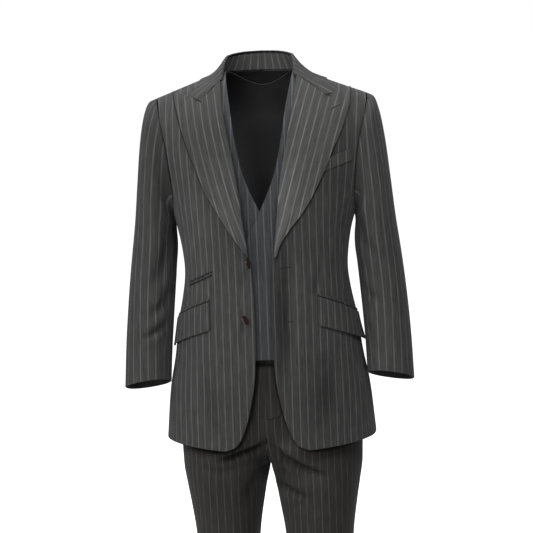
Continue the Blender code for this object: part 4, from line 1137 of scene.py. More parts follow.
# %% The collar's fold and edge
STAND_CLOTH = 0.0015
STAND_INSET = 0.0035  # between the fold and the stand's edge
STAND_LEAN = 0.0115  # how far its front ends come in from the neck's width
STAND_REACH = 0.84  # how far round to the gorge it runs
STAND_SHOULDER = 0.68  # where it crosses the shoulder seam
STAND_FRONT_DROP = 0.030  # how far its front ends lie below the ridge
COLLAR = table(
    "along fold_x fold_y fold_z hollow",
    (0.00, 0.0000, 0.0660, 0.0310, 0.002),
    (0.25, 0.0380, 0.0560, 0.0300, 0.003),
    (0.50, 0.0640, 0.0280, 0.0265, 0.005),
    (0.68, 0.0700, 0.0000, 0.0215, 0.006),
    (0.80, 0.0725, -0.0180, 0.0110, 0.005),
    (0.92, 0.0740, -0.0350, -0.0045, 0.0015),
    (1.00, 0.0750, -0.0430, -0.0120, 0.0),
)


def collar_stand(u, v):
    """The collar's stand, from the neckline (v = 0) to just under the fold."""
    hand = math.copysign(1, u - 0.5)
    along = abs(2 * u - 1) * STAND_REACH
    fold = Vector([read(COLLAR, along, f"fold_{axis}") for axis in "xyz"])
    inward = Vector((-fold.x, -fold.y, 0)).normalized()
    top = fold + inward * STAND_INSET - Vector((0, 0, STAND_INSET))
    share = math.sin(math.pi / 2 * min(along / STAND_SHOULDER, 1.0))
    before = ease(along, STAND_SHOULDER, 1.0)
    neckline = mix(JACKET.ridge(0) - NAPE_DROP, JACKET.ridge(NECK_X), share**BACK_NECK_POWER)
    drop = JACKET.ridge(NECK_X * share) - neckline - STAND_FRONT_DROP * before
    foot = JACKET.over(NECK_X * share - STAND_LEAN * before, drop)
    foot += inward * STAND_INSET + Vector((0, 0, SEAM))
    place = mix(foot, top, v)
    return Vector((hand * place.x, place.y, place.z))


print("stand's height at the back:", round((collar_stand(0.5, 1) - collar_stand(0.5, 0)).length, 4), "m")

# %% [markdown]
# ## Pockets
# A flap hangs from a slit in the front, below a narrow strip called a jetting, and a welt is a strip that
# stands over its slit. All of them are short strips that follow the front's own curve, so three small
# functions make them all. The flap's lower edge stands off the coat a little towards its back end.

# %% Pocket strips
FLAP_START_X = 0.108
FLAP_TOP_Z = -0.452
FLAP_END_TURN = 92.0
FLAP_SLANT = 0.052
FLAP_HEIGHT = 0.058
FLAP_LENGTH = 0.16  # about, for rounding its corners
FLAP_SWING = 0.006  # how far its lower edge stands off at the back
FLAP_FRONT_SWING = 0.15  # the share of that at its front end
JET_HEIGHT = 0.005
TICKET = {"start_x": 0.101, "end_x": 0.152, "start_z": -0.396, "end_z": -0.4225, "height": 0.008}
WELT = {"start_x": 0.083, "end_x": 0.176, "start_z": -0.196, "end_z": -0.158, "height": 0.024}


def short_strip(spec):
    """A narrow strip on the jacket's front between two points, such as a welt or a jetting."""

    def surface(u, v):
        x = mix(spec["start_x"], spec["end_x"], u)
        z = mix(spec["start_z"], spec["end_z"], u) - spec["height"] * v
        return JACKET.at(x, z, -1) + form_normal(JACKET, x, z, -1) * REST

    return surface


FLAP_CORNER = 0.006
FLAP_DROP = {"left": 0.0, "right": 0.006}  # the wearer's right pocket sits this much lower
# The mouths are strips of painted shade between a jetting and its flap
MOUTH = 0.0026  # the dark slit between a jetting and its flap
TICKET_MOUTH = 0.0034
TICKET_PIPE = dict(TICKET, height=0.0036, start_z=TICKET["start_z"] - 0.0022, end_z=TICKET["end_z"] - 0.0022)

FLAP_OUT = {"left": 1.0, "right": 0.4}  # the share of its swing at each flap's end


def pocket_place(u, z):
    """A pocket's place on the coat at this height, and the level direction outwards from it."""
    place = JACKET.round(mix(JACKET.turn_at(FLAP_START_X, z), FLAP_END_TURN, u), z)
    return place, Vector((place.x, place.y, 0)).normalized()


def flap_face(drop, outward):
    """The flap, whose front edge hangs straight down and whose lower corners are rounded."""

    def surface(u, v):
        raise_front = max(FLAP_CORNER - u * FLAP_LENGTH, 0.0)
        raise_back = max(FLAP_CORNER / 2 - (1 - u) * FLAP_LENGTH, 0.0)
        cut = FLAP_CORNER - math.sqrt(FLAP_CORNER**2 - raise_front**2)
        cut += FLAP_CORNER / 2 - math.sqrt((FLAP_CORNER / 2) ** 2 - raise_back**2)
        down = v * (1 - cut / FLAP_HEIGHT)
        z = FLAP_TOP_Z - drop - FLAP_SLANT * u - FLAP_HEIGHT * down
        place, out = pocket_place(u, z)
        return place + out * (REST + FLAP_SWING * mix(FLAP_FRONT_SWING, outward, u) * down * down)

    return surface


def mouth_strip(drop, height):
    """A narrow strip along the flap's top edge, this far below the pocket's own line."""

    def surface(u, v):
        z = FLAP_TOP_Z - drop - FLAP_SLANT * u - height * v
        place, out = pocket_place(u, z)
        return place + out * REST

    return surface


def pocket_grain(grid):
    """Stripes that match those of the front under a pocket's strip."""
    level = grid * (1, 1, 0)
    return np.abs(grid[:, :1, 0]) + running(level, 1), grid[..., 2]


print("flap's lower edge in front:", round(flap_face(0.0, 1.0)(0.5, 1.0).z, 3))

# %% [markdown]
# ## The waistcoat
# A waistcoat is cut closer than the coat, in two fronts and one back, and its left front lies over its right
# one. Both fronts are the same surface, and the upper one is lifted off the lower one where they cross.

# %% The waistcoat's panels
WAISTCOAT_NECK_X = 0.068
WAISTCOAT_SHOULDER_X = 0.150
WAISTCOAT_PIT_Z = -0.30
WAISTCOAT_NAPE_Z = -0.036
WAISTCOAT_HEM_Z = -0.578
OVERLAP_LIFT = 0.0038
OVERLAP_SPAN = (0.062, 0.110)  # the upper front comes down to the body's form between these
OVERLAP_TOP = (-0.26, -0.20)  # and between these heights, above the crossing
WAISTCOAT_ROWS = table(
    "row edge_x edge_z outer_share outer_z",
    (0, -0.0550, WAISTCOAT_HEM_Z, 1.0, WAISTCOAT_HEM_Z),
    (1, -0.0550, -0.5200, 1.0, -0.5150),
    (2, -0.0550, -0.4550, 1.0, -0.4550),
    (3, -0.0540, -0.3900, 1.0, -0.3950),
    (4, -0.0300, -0.3350, 1.0, -0.3400),
    (5, 0.0030, -0.2700, 0.972, WAISTCOAT_PIT_Z),
    (6, 0.0300, -0.2050, 0.840, -0.2500),
    (7, 0.0450, -0.1400, 0.700, -0.1800),
    (8, 0.0560, -0.0680, 0.655, -0.1100),
)
WAISTCOAT_BACK_ROWS = table(
    "row middle_z outer_share outer_z",
    (0, -0.5680, 1.0, WAISTCOAT_HEM_Z),
    (1, -0.5100, 1.0, -0.5150),
    (2, -0.4500, 1.0, -0.4550),
    (3, -0.3900, 1.0, -0.3950),
    (4, -0.3300, 1.0, -0.3400),
    (5, -0.2600, 0.972, WAISTCOAT_PIT_Z),
    (6, -0.1950, 0.850, -0.2500),
    (7, -0.1350, 0.730, -0.1800),
    (8, -0.0850, 0.680, -0.1100),
)


def waistcoat_front(over):
    """A front from its edge (u = 0) to the side seam. over is how far the upper one lies off the other."""

    def surface(u, v):
        u = spread(u, 90)
        last = len(WAISTCOAT_ROWS["rows"]) - 1
        row, up = min(v * (last + 1), last), max(v * (last + 1) - last, 0)
        x0, z0, share, z1 = reads(WAISTCOAT_ROWS, row, "edge_x edge_z outer_share outer_z")
        x1 = mix(share * WAISTCOAT.width(z1), WAISTCOAT_SHOULDER_X, up)
        x0, z0 = mix(x0, WAISTCOAT_NECK_X, up), mix(z0, WAISTCOAT.ridge(WAISTCOAT_NECK_X), up)
        z1 = mix(z1, WAISTCOAT.ridge(WAISTCOAT_SHOULDER_X), up)
        x, z = mix(x0, x1, u), mix(z0, z1, u)
        lift = over * (1 - ease(x, *OVERLAP_SPAN)) * (1 - ease(z, *OVERLAP_TOP))
        return WAISTCOAT.at(x, z, -1) - Vector((0, lift, 0))

    return surface


def waistcoat_back(u, v):
    """The whole back, from the wearer's right side seam (u = 0) to the left one, hem to shoulders."""
    across = spread(abs(2 * u - 1), 90)
    last = len(WAISTCOAT_BACK_ROWS["rows"]) - 1
    row, up = min(v * (last + 1), last), max(v * (last + 1) - last, 0)
    z0, share, z1 = reads(WAISTCOAT_BACK_ROWS, row, "middle_z outer_share outer_z")
    top_x = across * WAISTCOAT_SHOULDER_X
    top_z = mix(WAISTCOAT_NAPE_Z, WAISTCOAT.ridge(top_x), min(top_x / WAISTCOAT_NECK_X, 1.0) ** 2)
    x = mix(across * share * WAISTCOAT.width(z1), top_x, up)
    place = WAISTCOAT.at(x, mix(mix(z0, z1, across), top_z, up), 1)
    return Vector((math.copysign(place.x, u - 0.5), place.y, place.z))


print("V's edge at the chest:", round(waistcoat_front(0.0)(0.0, 0.75).x, 3))

# %% [markdown]
# ## Trousers
# Each leg is a front and a back that meet on the inner and the outer seam. Above the fork the two legs must
# turn into one body. So every point there is mixed from two forms, a leg's ring and the hips, and the share
# between them draws the curve of the fork.

# %% The trousers' panels
WAIST_Z = -0.500
BAND_HEIGHT = 0.038
CROTCH_Z = -0.811
FORK_TOP_Z = -0.690  # the centre seams leave the vertical here
FORK_SHIFT = -0.005
FORK_REACH = 0.4  # how far across a panel the fork's curve is felt
HEM_FRONT_Z = -1.574
HEM_BACK_Z = -1.590
LEG_SQUARENESS = 2.15
FLY_WIDTH = 0.036
FLY_END_Z = -0.700
FLY_REST = 0.0007
FLY_CURVE = 0.2  # the share of its height in which its foot rounds to the seam
FLY_FOOT = 0.004
FLY_INSET = 0.0006
TROUSER_FORK = 0.66  # the share of the trousers' lines below the fork
STANCE_LEVELS = (0.60, 0.80)  # the shift grows down to the fork between these depths
STANCE_WIDTH = 0.18  # and fades out to the side
LEG_LEVELS = table(
    "z inner outer front back",
    (-0.690, 0.0002, 0.187, -0.108, 0.120),
    (-0.811, 0.0004, 0.186, -0.100, 0.114),
    (-0.853, 0.0095, 0.180, -0.097, 0.107),
    (-0.896, 0.0165, 0.173, -0.093, 0.100),
    (-0.957, 0.0260, 0.1645, -0.089, 0.090),
    (-1.050, 0.0330, 0.158, -0.085, 0.078),
    (-1.170, 0.0355, 0.154, -0.083, 0.068),
    (-1.350, 0.0360, 0.152, -0.074, 0.072),
    (-1.590, 0.0365, 0.151, -0.066, 0.074),
)


def leg_ring(angle, z):
    """A leg's section: -90 is its front, 0 its outer side, 90 its back and 180 its inner side."""
    inner, outer, front, back = reads(LEG_LEVELS, z, "inner outer front back")
    inner = max(inner, SEAM / 2)
    turn = math.radians(angle)
    power = 2 / LEG_SQUARENESS
    across = signed_power(math.cos(turn), power)
    deep = signed_power(math.sin(turn), power)
    x = (inner + outer) / 2 + (outer - inner) / 2 * across
    return Vector((x, (front + back) / 2 + (back - front) / 2 * deep, z))


def stance(place, side):
    """The fork lies a little towards the wearer's right, and the sides stay where they are."""
    share = ease(-place.z, *STANCE_LEVELS) * (1 - ease(place.x, 0.0, STANCE_WIDTH))
    return place + Vector((side * FORK_SHIFT * share, 0, 0))


def trouser_half(face, side):
    """A trouser front (face -1) or back: from the centre and inner seam (u = 0) to the side seam."""
    beside_seam = Vector((0, face * SEAM / 2, 0))

    def surface(u, v):
        angle = face * (180 - 180 * u)
        if v < TROUSER_FORK:
            foot = HEM_FRONT_Z if face < 0 else HEM_BACK_Z
            z = mix(mix(foot, (HEM_FRONT_Z + HEM_BACK_Z) / 2, abs(2 * u - 1)), CROTCH_Z, v / TROUSER_FORK)
            return stance(leg_ring(angle, z) + beside_seam, side)
        z = mix(CROTCH_Z, WAIST_Z - BAND_HEIGHT - SEAM, (v - TROUSER_FORK) / (1 - TROUSER_FORK))
        leg = leg_ring(angle, z) + beside_seam
        fallen = min(max((FORK_TOP_Z - z) / (FORK_TOP_Z - CROTCH_Z), 0.0), 1.0)
        share = mix(1 - math.sqrt(1 - fallen * fallen), ease(fallen, 0.0, 1.0), ease(u, 0.0, FORK_REACH))
        hip = HIPS.at(leg.x * HIPS.width(z) / read(LEG_LEVELS, z, "outer"), z, face)
        return stance(Vector((mix(hip.x, leg.x, share), mix(hip.y, leg.y, share), z)), side)

    return surface


def waistband(u, v):
    """Round the waist from the centre front and back to it, top edge at v = 1."""
    turn = mix(SEAM_TURN, 360 - SEAM_TURN, u)
    z = mix(WAIST_Z - BAND_HEIGHT + SEAM / 2, WAIST_Z, v)
    place = HIPS.round(turn if turn <= 180 else 360 - turn, z)
    return Vector((place.x if turn <= 180 else -place.x, place.y, place.z))


def fly(u, v):
    """The fly's facing on the left front, from the centre seam to its row of stitching."""
    z = mix(FLY_END_Z, WAIST_Z - BAND_HEIGHT - SEAM, v)
    round_foot = 1 - max(1 - v / FLY_CURVE, 0.0) ** 2
    x = mix(FLY_INSET, min(FLY_WIDTH * math.sqrt(round_foot) + FLY_FOOT, FLY_WIDTH), u)
    return stance(HIPS.at(x, z, -1) + form_normal(HIPS, x, z, -1) * FLY_REST, 1)


print("leg's width at the knee:", round(leg_ring(0, -1.1).x - leg_ring(180, -1.1).x, 3))

# %% [markdown]
# ## Lapels that roll
# A lapel is the front's own facing turned back along the roll line. It isn't pressed flat there: it bends
# round softly, stands highest just beside the roll and comes down to its edge. `rolled` adds the turned-under
# part before the lapel's first line.

# %% The lapel's outline
LAPEL_ROWS = table(
    "row roll_x roll_z left_x left_z right_x right_z",
    (0, 0.0245, -0.3670, 0.0310, -0.3640, 0.0275, -0.3645),
    (1, 0.0260, -0.3530, 0.0400, -0.3390, 0.0470, -0.3340),
    (2, 0.0290, -0.3280, 0.0600, -0.3090, 0.0640, -0.3080),
    (3, 0.0345, -0.2850, 0.0850, -0.2780, 0.0800, -0.2800),
    (4, 0.0395, -0.2400, 0.1080, -0.2400, 0.1010, -0.2430),
    (5, 0.0460, -0.1950, 0.1280, -0.2000, 0.1190, -0.2000),
    (6, 0.0545, -0.1500, 0.1460, -0.1580, 0.1350, -0.1590),
    (7, 0.0625, -0.1080, 0.1610, -0.1240, 0.1480, -0.1240),
    (8, 0.0690, -0.0720, 0.1700, -0.0970, 0.1570, -0.0970),
    (9, 0.0725, -0.0440, 0.1765, -0.0740, 0.1645, -0.0740),
)

print("lapel's widest row:", round(max(row[3] - row[1] for row in LAPEL_ROWS["rows"]), 3))

# %% A turned-under edge
ROLL_RADIUS = 0.0022
AHEAD = 0.01  # shares of the surface at which its directions are measured
ASIDE = 0.002


def rolled(surface, radius, turn, share, upward=False, facing=1):
    """The surface with its first edge turned under, round a roll of this radius.

    The roll takes up this share of the lines across the piece, or up it, and bends through `turn` degrees.
    """

    def bent(u, v):
        along, other = (v, u) if upward else (u, v)

        def place(a, b):
            return surface(b, a) if upward else surface(a, b)

        if along >= share:
            return place((along - share) / (1 - share), other)
        start = place(0, other)
        ahead = (place(AHEAD, other) - start).normalized()
        beside = place(0, min(other + ASIDE, 1)) - place(0, max(other - ASIDE, 0))
        out = facing * (beside.cross(ahead) if upward else ahead.cross(beside)).normalized()
        angle = math.radians(turn) * (1 - along / share)
        return start + radius * ((math.cos(angle) - 1) * out - math.sin(angle) * ahead)

    return bent


print("a turn of 180 degrees takes", round(math.pi * ROLL_RADIUS, 4), "m of cloth")

# %% The lapel's middle face
LAPEL_THICKNESS = 0.0020
ROLL_INSET = ROLL_RADIUS + LAPEL_THICKNESS / 2
LAPEL_LIE = (0.0062, 0.0040)  # how high its middle lies over the front at its edge: low, and at the peak
LAPEL_SWELL = 0.0030
ROLL_SHARE = 0.12
LAPEL_CREST = 0.7  # the swell ends at this share of its width
LAPEL_SWELL_FOOT = 0.3  # and begins over this share of its height
LAPEL_PEAK = (0.35, 0.9)  # between these shares it comes to lie as at the peak
LAPEL_SETTLE = 0.6  # how far across it takes to come down
LAPEL_TOPS = {
    "left": table("share x z", (0.0, 0.0757, -0.0165), (0.24, 0.1010, -0.0335), (0.48, 0.1345, -0.0560),
                  (0.74, 0.1565, -0.0485), (1.0, 0.1800, -0.0430)),
    "right": table("share x z", (0.0, 0.0750, -0.0225), (0.24, 0.0930, -0.0420), (0.48, 0.1140, -0.0565),
                   (0.74, 0.1430, -0.0500), (1.0, 0.1740, -0.0420)),
}


def lapel_face(hand):
    """The lapel's middle, from beside the roll (u = 0) to its outer edge."""

    def surface(u, v):
        last = len(LAPEL_ROWS["rows"])
        row = v * last
        if row < last - 1:
            x0, z0, x1, z1 = reads(LAPEL_ROWS, row, f"roll_x roll_z {hand}_x {hand}_z")
            x, z = mix(x0 + ROLL_INSET, x1, u), mix(z0, z1, u)
        else:
            share = row - (last - 1)
            top = LAPEL_TOPS[hand]
            low = LAPEL_ROWS["rows"][-1]
            k = LAPEL_ROWS["columns"].index(f"{hand}_x")
            x = mix(mix(low[1] + ROLL_INSET, low[k], u), read(top, u, "x") + ROLL_INSET * (1 - u), share)
            z = mix(mix(low[2], low[k + 1], u), read(top, u, "z"), share)
        swell = LAPEL_SWELL * math.sin(math.pi * min(u / LAPEL_CREST, 1.0)) ** 2 * ease(v, 0.0, LAPEL_SWELL_FOOT)
        start = 2 * ROLL_RADIUS - CLOTH / 2
        lie = mix(*LAPEL_LIE, ease(v, *LAPEL_PEAK))
        lift = mix(start, lie, ease(u, 0.0, LAPEL_SETTLE)) + swell
        return JACKET.at(x, z, -1) + form_normal(JACKET, x, z, -1) * lift

    return surface


RIDGE_GAP = 0.00001  # how far under the ridge a panel's top edge stops
RIDGE_DRAW = (0.93, 1.0)  # it is drawn up between these shares of its height
NECK_FREE = 0.004  # the back is drawn up from this far inside the neck's width
ROLL_ROOM = (-0.382, -0.360)  # the front's edge makes room between these levels, and above them
ROLL_ROOM_REACH = 0.3  # the share of its width that moves
ROLL_ROOM_TOP = -0.03


def to_ridge(place, v, face):
    """Draws a panel's top edge up to the shoulder's ridge. The seam there stays open by about two millimetres."""
    top = ease(v, *RIDGE_DRAW)
    height = JACKET.ridge(place.x) - RIDGE_GAP - place.z
    return JACKET.at(place.x, place.z + height * top, face) if top > 0 and height > 0 else place


def closed_back(u, v):
    """The back, drawn up to the shoulder's ridge outside the neck."""
    place = jacket_back(u, v)
    return to_ridge(place, v, 1) if place.x > NECK_X - NECK_FREE else place


def turned_front(u, v):
    """The front, drawn up to the ridge, whose edge makes room for the lapel's roll."""
    place = to_ridge(jacket_front(u, v), v, -1)
    room = ROLL_INSET * ease(place.z, *ROLL_ROOM) * (1 - ease(u, 0.0, ROLL_ROOM_REACH))
    return JACKET.at(place.x + room, place.z, -1) if room > 0 and place.z < ROLL_ROOM_TOP else place


LAPEL_SHIFTS = {
    "left": table("z x", (-0.40, -0.0551), (-0.20, 0.0), (-0.02, 0.0496)),
    "right": table("z x", (-0.40, -0.0600), (-0.28, -0.0215), (-0.20, 0.0), (-0.12, 0.0180), (-0.02, 0.0360)),
}

print("lapel tops:", {hand: round(top["rows"][-1][1], 3) for hand, top in LAPEL_TOPS.items()})

# %% [markdown]
# ## A collar that lies on the shoulders
# The collar's leaf falls from its fold and lies on the shoulders like a second skin. Its ends meet the lapels
# in the gorge seams, at the lapels' own height. Only the notch, a short part beyond each seam, is open.

# %% The collar's leaf at rest
LEAF_CLOTH = 0.0013
LEAF_LIFT = 0.0007
GORGE_LIFT = 0.0030  # the lapels' lower faces lie this high
GORGE_FROM = 0.84  # how far round the gorge seam begins
LEAF_SETTLE = (0.15, 0.4)  # the leaf lies on the shoulders from here on, below its fold
RIGHT_FOLD_DROP = 0.006  # the wearer's right end of the fold lies this much lower
RIGHT_FOLD_FROM = 0.8
LEAF_ENDS = {
    "left": table("along edge_x edge_drop",
                  (0.0, 0.0, 0.0400), (0.25, 0.0540, 0.0310), (0.50, 0.1000, 0.0150),
                  (0.68, 0.1250, 0.0040), (0.80, 0.1400, -0.0030), (0.92, 0.1570, -0.0175),
                  (1.0, 0.1335, -0.0375)),
    "right": table("along edge_x edge_drop",
                   (0.0, 0.0, 0.0400), (0.25, 0.0530, 0.0310), (0.50, 0.0920, 0.0160),
                   (0.68, 0.1110, 0.0040), (0.80, 0.1220, -0.0030), (0.92, 0.1360, -0.0300),
                   (1.0, 0.1125, -0.0455)),
}


def lying_leaf(u, v):
    """The collar's leaf, kept just off the coat's own form."""
    hand = math.copysign(1, u - 0.5)
    ends = LEAF_ENDS["left" if hand > 0 else "right"]
    along = abs(2 * u - 1)
    fold = Vector([read(COLLAR, along, f"fold_{axis}") for axis in "xyz"])
    fold.z -= RIGHT_FOLD_DROP * ease(along, RIGHT_FOLD_FROM, 1.0) if hand < 0 else 0.0
    edge_x, drop = reads(ends, along, "edge_x edge_drop")
    edge = JACKET.over(edge_x, drop)
    lift = mix(LEAF_LIFT, GORGE_LIFT, ease(along, GORGE_FROM, 1.0))
    edge += form_normal(JACKET, edge_x, edge.z, math.copysign(1, drop)) * lift
    place = mix(fold, edge, v)
    place.z -= read(COLLAR, along, "hollow") * math.sin(math.pi * v)
    ridge = JACKET.ridge(place.x)
    if place.z < ridge - SEAM:
        face = 1 if place.y > 0 else -1
        under = JACKET.at(place.x, place.z, face)
        normal = form_normal(JACKET, place.x, place.z, face)
        height = (abs(place.y) - abs(under.y)) * abs(normal.y)
        place += normal * max(lift - height, 0.0) * ease(v, *LEAF_SETTLE)
    else:
        place.z += max(ridge + lift - place.z, 0.0)
    return Vector((hand * place.x, place.y, place.z))


print("collar's outer edge:", [round(LEAF_ENDS[hand]["rows"][-2][1], 3) for hand in LEAF_ENDS])

# %% [markdown]
# ## Sewing the coat
# Now the pieces are made from their surfaces, in the order in which a maker would sew them: the body first,
# then the lapels and collar, the sleeves and the pockets. An edge named in `sewn` is drawn over the seam's
# gap, and a painted shadow is laid along each line where another piece's edge lies on this one.

# %% The coat's panels
WOOL = (JACKET_WOOL, LINING)
# Painted shadow on the front beside each lapel's edge
LAPEL_SHADE = 0.0042  # half the width of the dark beside a lapel's edge
EDGE_PLACES = 24  # steps in which that edge is followed
HANDS = (("left", 1), ("right", -1))
for hand, side in HANDS:
    edge = [lapel_face(hand)(1.0, k / EDGE_PLACES) for k in range(EDGE_PLACES + 1)]
    painted_lapel_shadow = painted_shadow_line([(side * place.x, place.z) for place in edge], LAPEL_SHADE)
    cloth(f"jacket_front_{hand}", turned_front, 0.0045, WOOL, "jacket_cloth", side=side, sewn="zZ",
          painted_shadow=painted_lapel_shadow)
    cloth(f"jacket_back_{hand}", closed_back, 0.006, WOOL, "jacket_cloth", facing=-1, side=side, sewn="azZ")
    cloth(f"jacket_side_{hand}", jacket_side, 0.006, WOOL, "jacket_cloth", side=side, sewn="azZ")

# %% Lapels and collar
# Painted shadow on the lapel along its top edge, under the collar's end
GORGE_SHADE = 0.0026
STRIPE_LEAN = 14.0  # how far a lapel's stripes lean, in degrees
LEAF_ROLL = 0.0020
LEAF_TURN = 130  # how far the leaf is turned under at its fold, in degrees
LEAF_SHARE = 0.10
NOTCH_SHARES = (0.02, 0.16, 0.32, 0.48)  # the lapel's top edge lies under the collar up to the last
for hand, side in HANDS:
    face = rolled(lapel_face(hand), ROLL_RADIUS, 180, ROLL_SHARE)
    half = LAPEL_THICKNESS / 2
    top = [lapel_face(hand)(share, 1.0) for share in NOTCH_SHARES]
    gorge = painted_shadow_line([(side * place.x, place.z) for place in top], GORGE_SHADE)
    cloth(f"lapel_{hand}", face, 0.003, (JACKET_WOOL,), "jacket_cloth", side=side, faces=(-half, half),
          grain=slanted_grain(LAPEL_SHIFTS[hand], STRIPE_LEAN), bend=(ROLL_SHARE, 0.0), painted_shadow=gorge)
leaf = rolled(lying_leaf, LEAF_ROLL, LEAF_TURN, LEAF_SHARE, upward=True)
cloth("collar_leaf", leaf, 0.003, (JACKET_WOOL,), "jacket_cloth", faces=(0.0, LEAF_CLOTH), grain=long_grain,
      bend=(0.0, LEAF_SHARE))
cloth("collar_stand", collar_stand, 0.004, (JACKET_WOOL,), "jacket_cloth", faces=(-STAND_CLOTH, 0.0),
      grain=long_grain)

# %% Sleeves
HEAD_SINK = 0.07  # the sleeve's head rises to its own level over this length
# Painted shade beside the armhole's seam: its half width, and where it begins
HEAD_SHADE = 0.0065
HEAD_SHADE_TOP = (-0.050, 0.080)  # the dark begins at this level and grows over this height


def set_in(grid):
    """Sinks the sleeve's head to the level of the body, where the seam joins them."""
    down = np.minimum(running(grid, 0) / HEAD_SINK, 1.0)
    return -CLOTH * (1 - down * down * (3 - 2 * down))


def armhole_shade(grid):
    """The painted shade beside the armhole's seam, in front and behind but not over the shoulder."""
    return running(grid, 0) / HEAD_SHADE, np.clip((HEAD_SHADE_TOP[0] - grid[..., 2]) / HEAD_SHADE_TOP[1], 0, 1)


for hand, side in HANDS:
    top = sleeve(side, SLEEVE_FRONT_SEAM + SEAM_ANGLE, SLEEVE_BACK_SEAM - SEAM_ANGLE)
    under = sleeve(side, SLEEVE_BACK_SEAM + SEAM_ANGLE, SLEEVE_FRONT_SEAM + 360 - SEAM_ANGLE)
    cloth(f"sleeve_top_{hand}", top, 0.005, WOOL, "jacket_cloth", facing=-1, side=side, faces=(0.0, CLOTH),
          grain=sleeve_grain(0.512), sewn="azA", creases=set_in, painted_shadow=armhole_shade)
    cloth(f"sleeve_under_{hand}", under, 0.006, WOOL, "jacket_cloth", facing=-1, side=side,
          faces=(0.0, CLOTH), grain=under_grain, sewn="azA", creases=set_in, painted_shadow=armhole_shade)

# %% Pockets
for hand, side in HANDS:
    drop = FLAP_DROP[hand]
    cloth(f"pocket_flap_{hand}", flap_face(drop, FLAP_OUT[hand]), 0.003, (JACKET_WOOL,), "jacket_cloth",
          facing=-1, side=side, faces=(0.0, LAPEL_CLOTH), grain=pocket_grain)
    cloth(f"pocket_jetting_{hand}", mouth_strip(drop - MOUTH - JET_HEIGHT, JET_HEIGHT), 0.0015, (JACKET_WOOL,),
          "jacket_cloth", facing=-1, side=side, faces=(-0.0004, CLOTH / 2), grain=pocket_grain)
    # A strip of painted shade in the pocket's mouth
    cloth(f"pocket_mouth_{hand}", mouth_strip(drop - MOUTH, MOUTH), 0.0015, (PAINTED_SLIT_SHADE,), "jacket_cloth", facing=-1,
          side=side, faces=(-0.0008, 0.0), grain=pocket_grain, stands=False)
cloth("ticket_jetting", short_strip(TICKET_PIPE), 0.0015, (JACKET_WOOL,), "jacket_cloth", facing=-1, side=-1,
      faces=(0.0, CLOTH / 2), grain=pocket_grain)
# Two strips of painted shade in the ticket pocket's mouth, above and below its jetting
for name, up in (("upper", TICKET_MOUTH), ("lower", -TICKET_PIPE["height"])):
    start_z, end_z = TICKET_PIPE["start_z"] + up, TICKET_PIPE["end_z"] + up
    spec = dict(TICKET_PIPE, height=TICKET_MOUTH, start_z=start_z, end_z=end_z)
    cloth(f"ticket_mouth_{name}", short_strip(spec), 0.0015, (PAINTED_SLIT_SHADE,), "jacket_cloth", facing=-1, side=-1,
          faces=(-0.0008, 0.0), grain=pocket_grain, stands=False)
cloth("breast_welt", short_strip(WELT), 0.003, (JACKET_WOOL,), "jacket_cloth", facing=-1,
      faces=(0.0, CLOTH / 2), grain=pocket_grain)

# %% [markdown]
# ## Sewing the waistcoat and the trousers
# These are the same steps with other cloths. A painted shadow darkens the trousers just below the coat's hem
# and the waistcoat's, along a line that follows both hems.

# %% Waistcoat
VEST = (WAISTCOAT_WOOL, LINING)
cloth("waistcoat_front_left", waistcoat_front(OVERLAP_LIFT), 0.005, VEST, "waistcoat_cloth", sewn="zZ")
cloth("waistcoat_front_right", waistcoat_front(0.0), 0.005, VEST, "waistcoat_cloth", side=-1, sewn="zZ")
cloth("waistcoat_back", waistcoat_back, 0.007, VEST, "waistcoat_cloth", facing=-1, sewn="az")

# %% Trousers
# A painted shadow on the trousers under the coat's and the waistcoat's hems
HEM_SHADOW = 0.008  # the dark line lies this far below the coat's hem
VEST_SHADOW = 0.011  # and below the waistcoat's
SHADOW_WIDTH = 0.0085
LEGS = (TROUSER_WOOL, TROUSER_WOOL)
VEST_HEM = waistcoat_front(0.0)(0.0, 0.0).z - VEST_SHADOW
PAINTED_HEM_SHADOW = {}
for hand, side in HANDS:
    hem = [jacket_front(1 - k / 8, 0.0) for k in range(9)] + [jacket_front(0.0, k / 40) for k in range(1, 21)]
    hem = [(side * place.x, place.z - HEM_SHADOW) for place in hem if place.z < VEST_HEM]
    PAINTED_HEM_SHADOW[hand] = painted_shadow_line(hem + [(hem[-1][0], VEST_HEM), (-side * 0.2, VEST_HEM)], SHADOW_WIDTH)
    cloth(f"trouser_front_{hand}", trouser_half(-1, side), 0.006, LEGS, "trouser_cloth", side=side,
          grain=centred_grain(0.5), sewn="azZ", painted_shadow=PAINTED_HEM_SHADOW[hand])
    cloth(f"trouser_back_{hand}", trouser_half(1, side), 0.006, LEGS, "trouser_cloth", facing=-1, side=side,
          grain=centred_grain(0.5), sewn="azZ")
cloth("waistband", waistband, 0.005, (TROUSER_WOOL,), "trouser_cloth", grain=long_grain)
cloth("fly", fly, 0.004, (TROUSER_WOOL,), "trouser_cloth", faces=(0.0, CLOTH / 2), painted_shadow=PAINTED_HEM_SHADOW["left"])

# %% [markdown]
# ## Buttons
# A coat button is turned from horn: a rim stands round a shallow dish, and four holes take the thread. It
# could be joined from cylinders and cut with a boolean, but here one sheet of rings and spokes gets the rim,
# the dish and the holes as heights, so every edge is round. The thread crosses the dish in two bars, and a
# wound shank under the button leaves room for the other front.

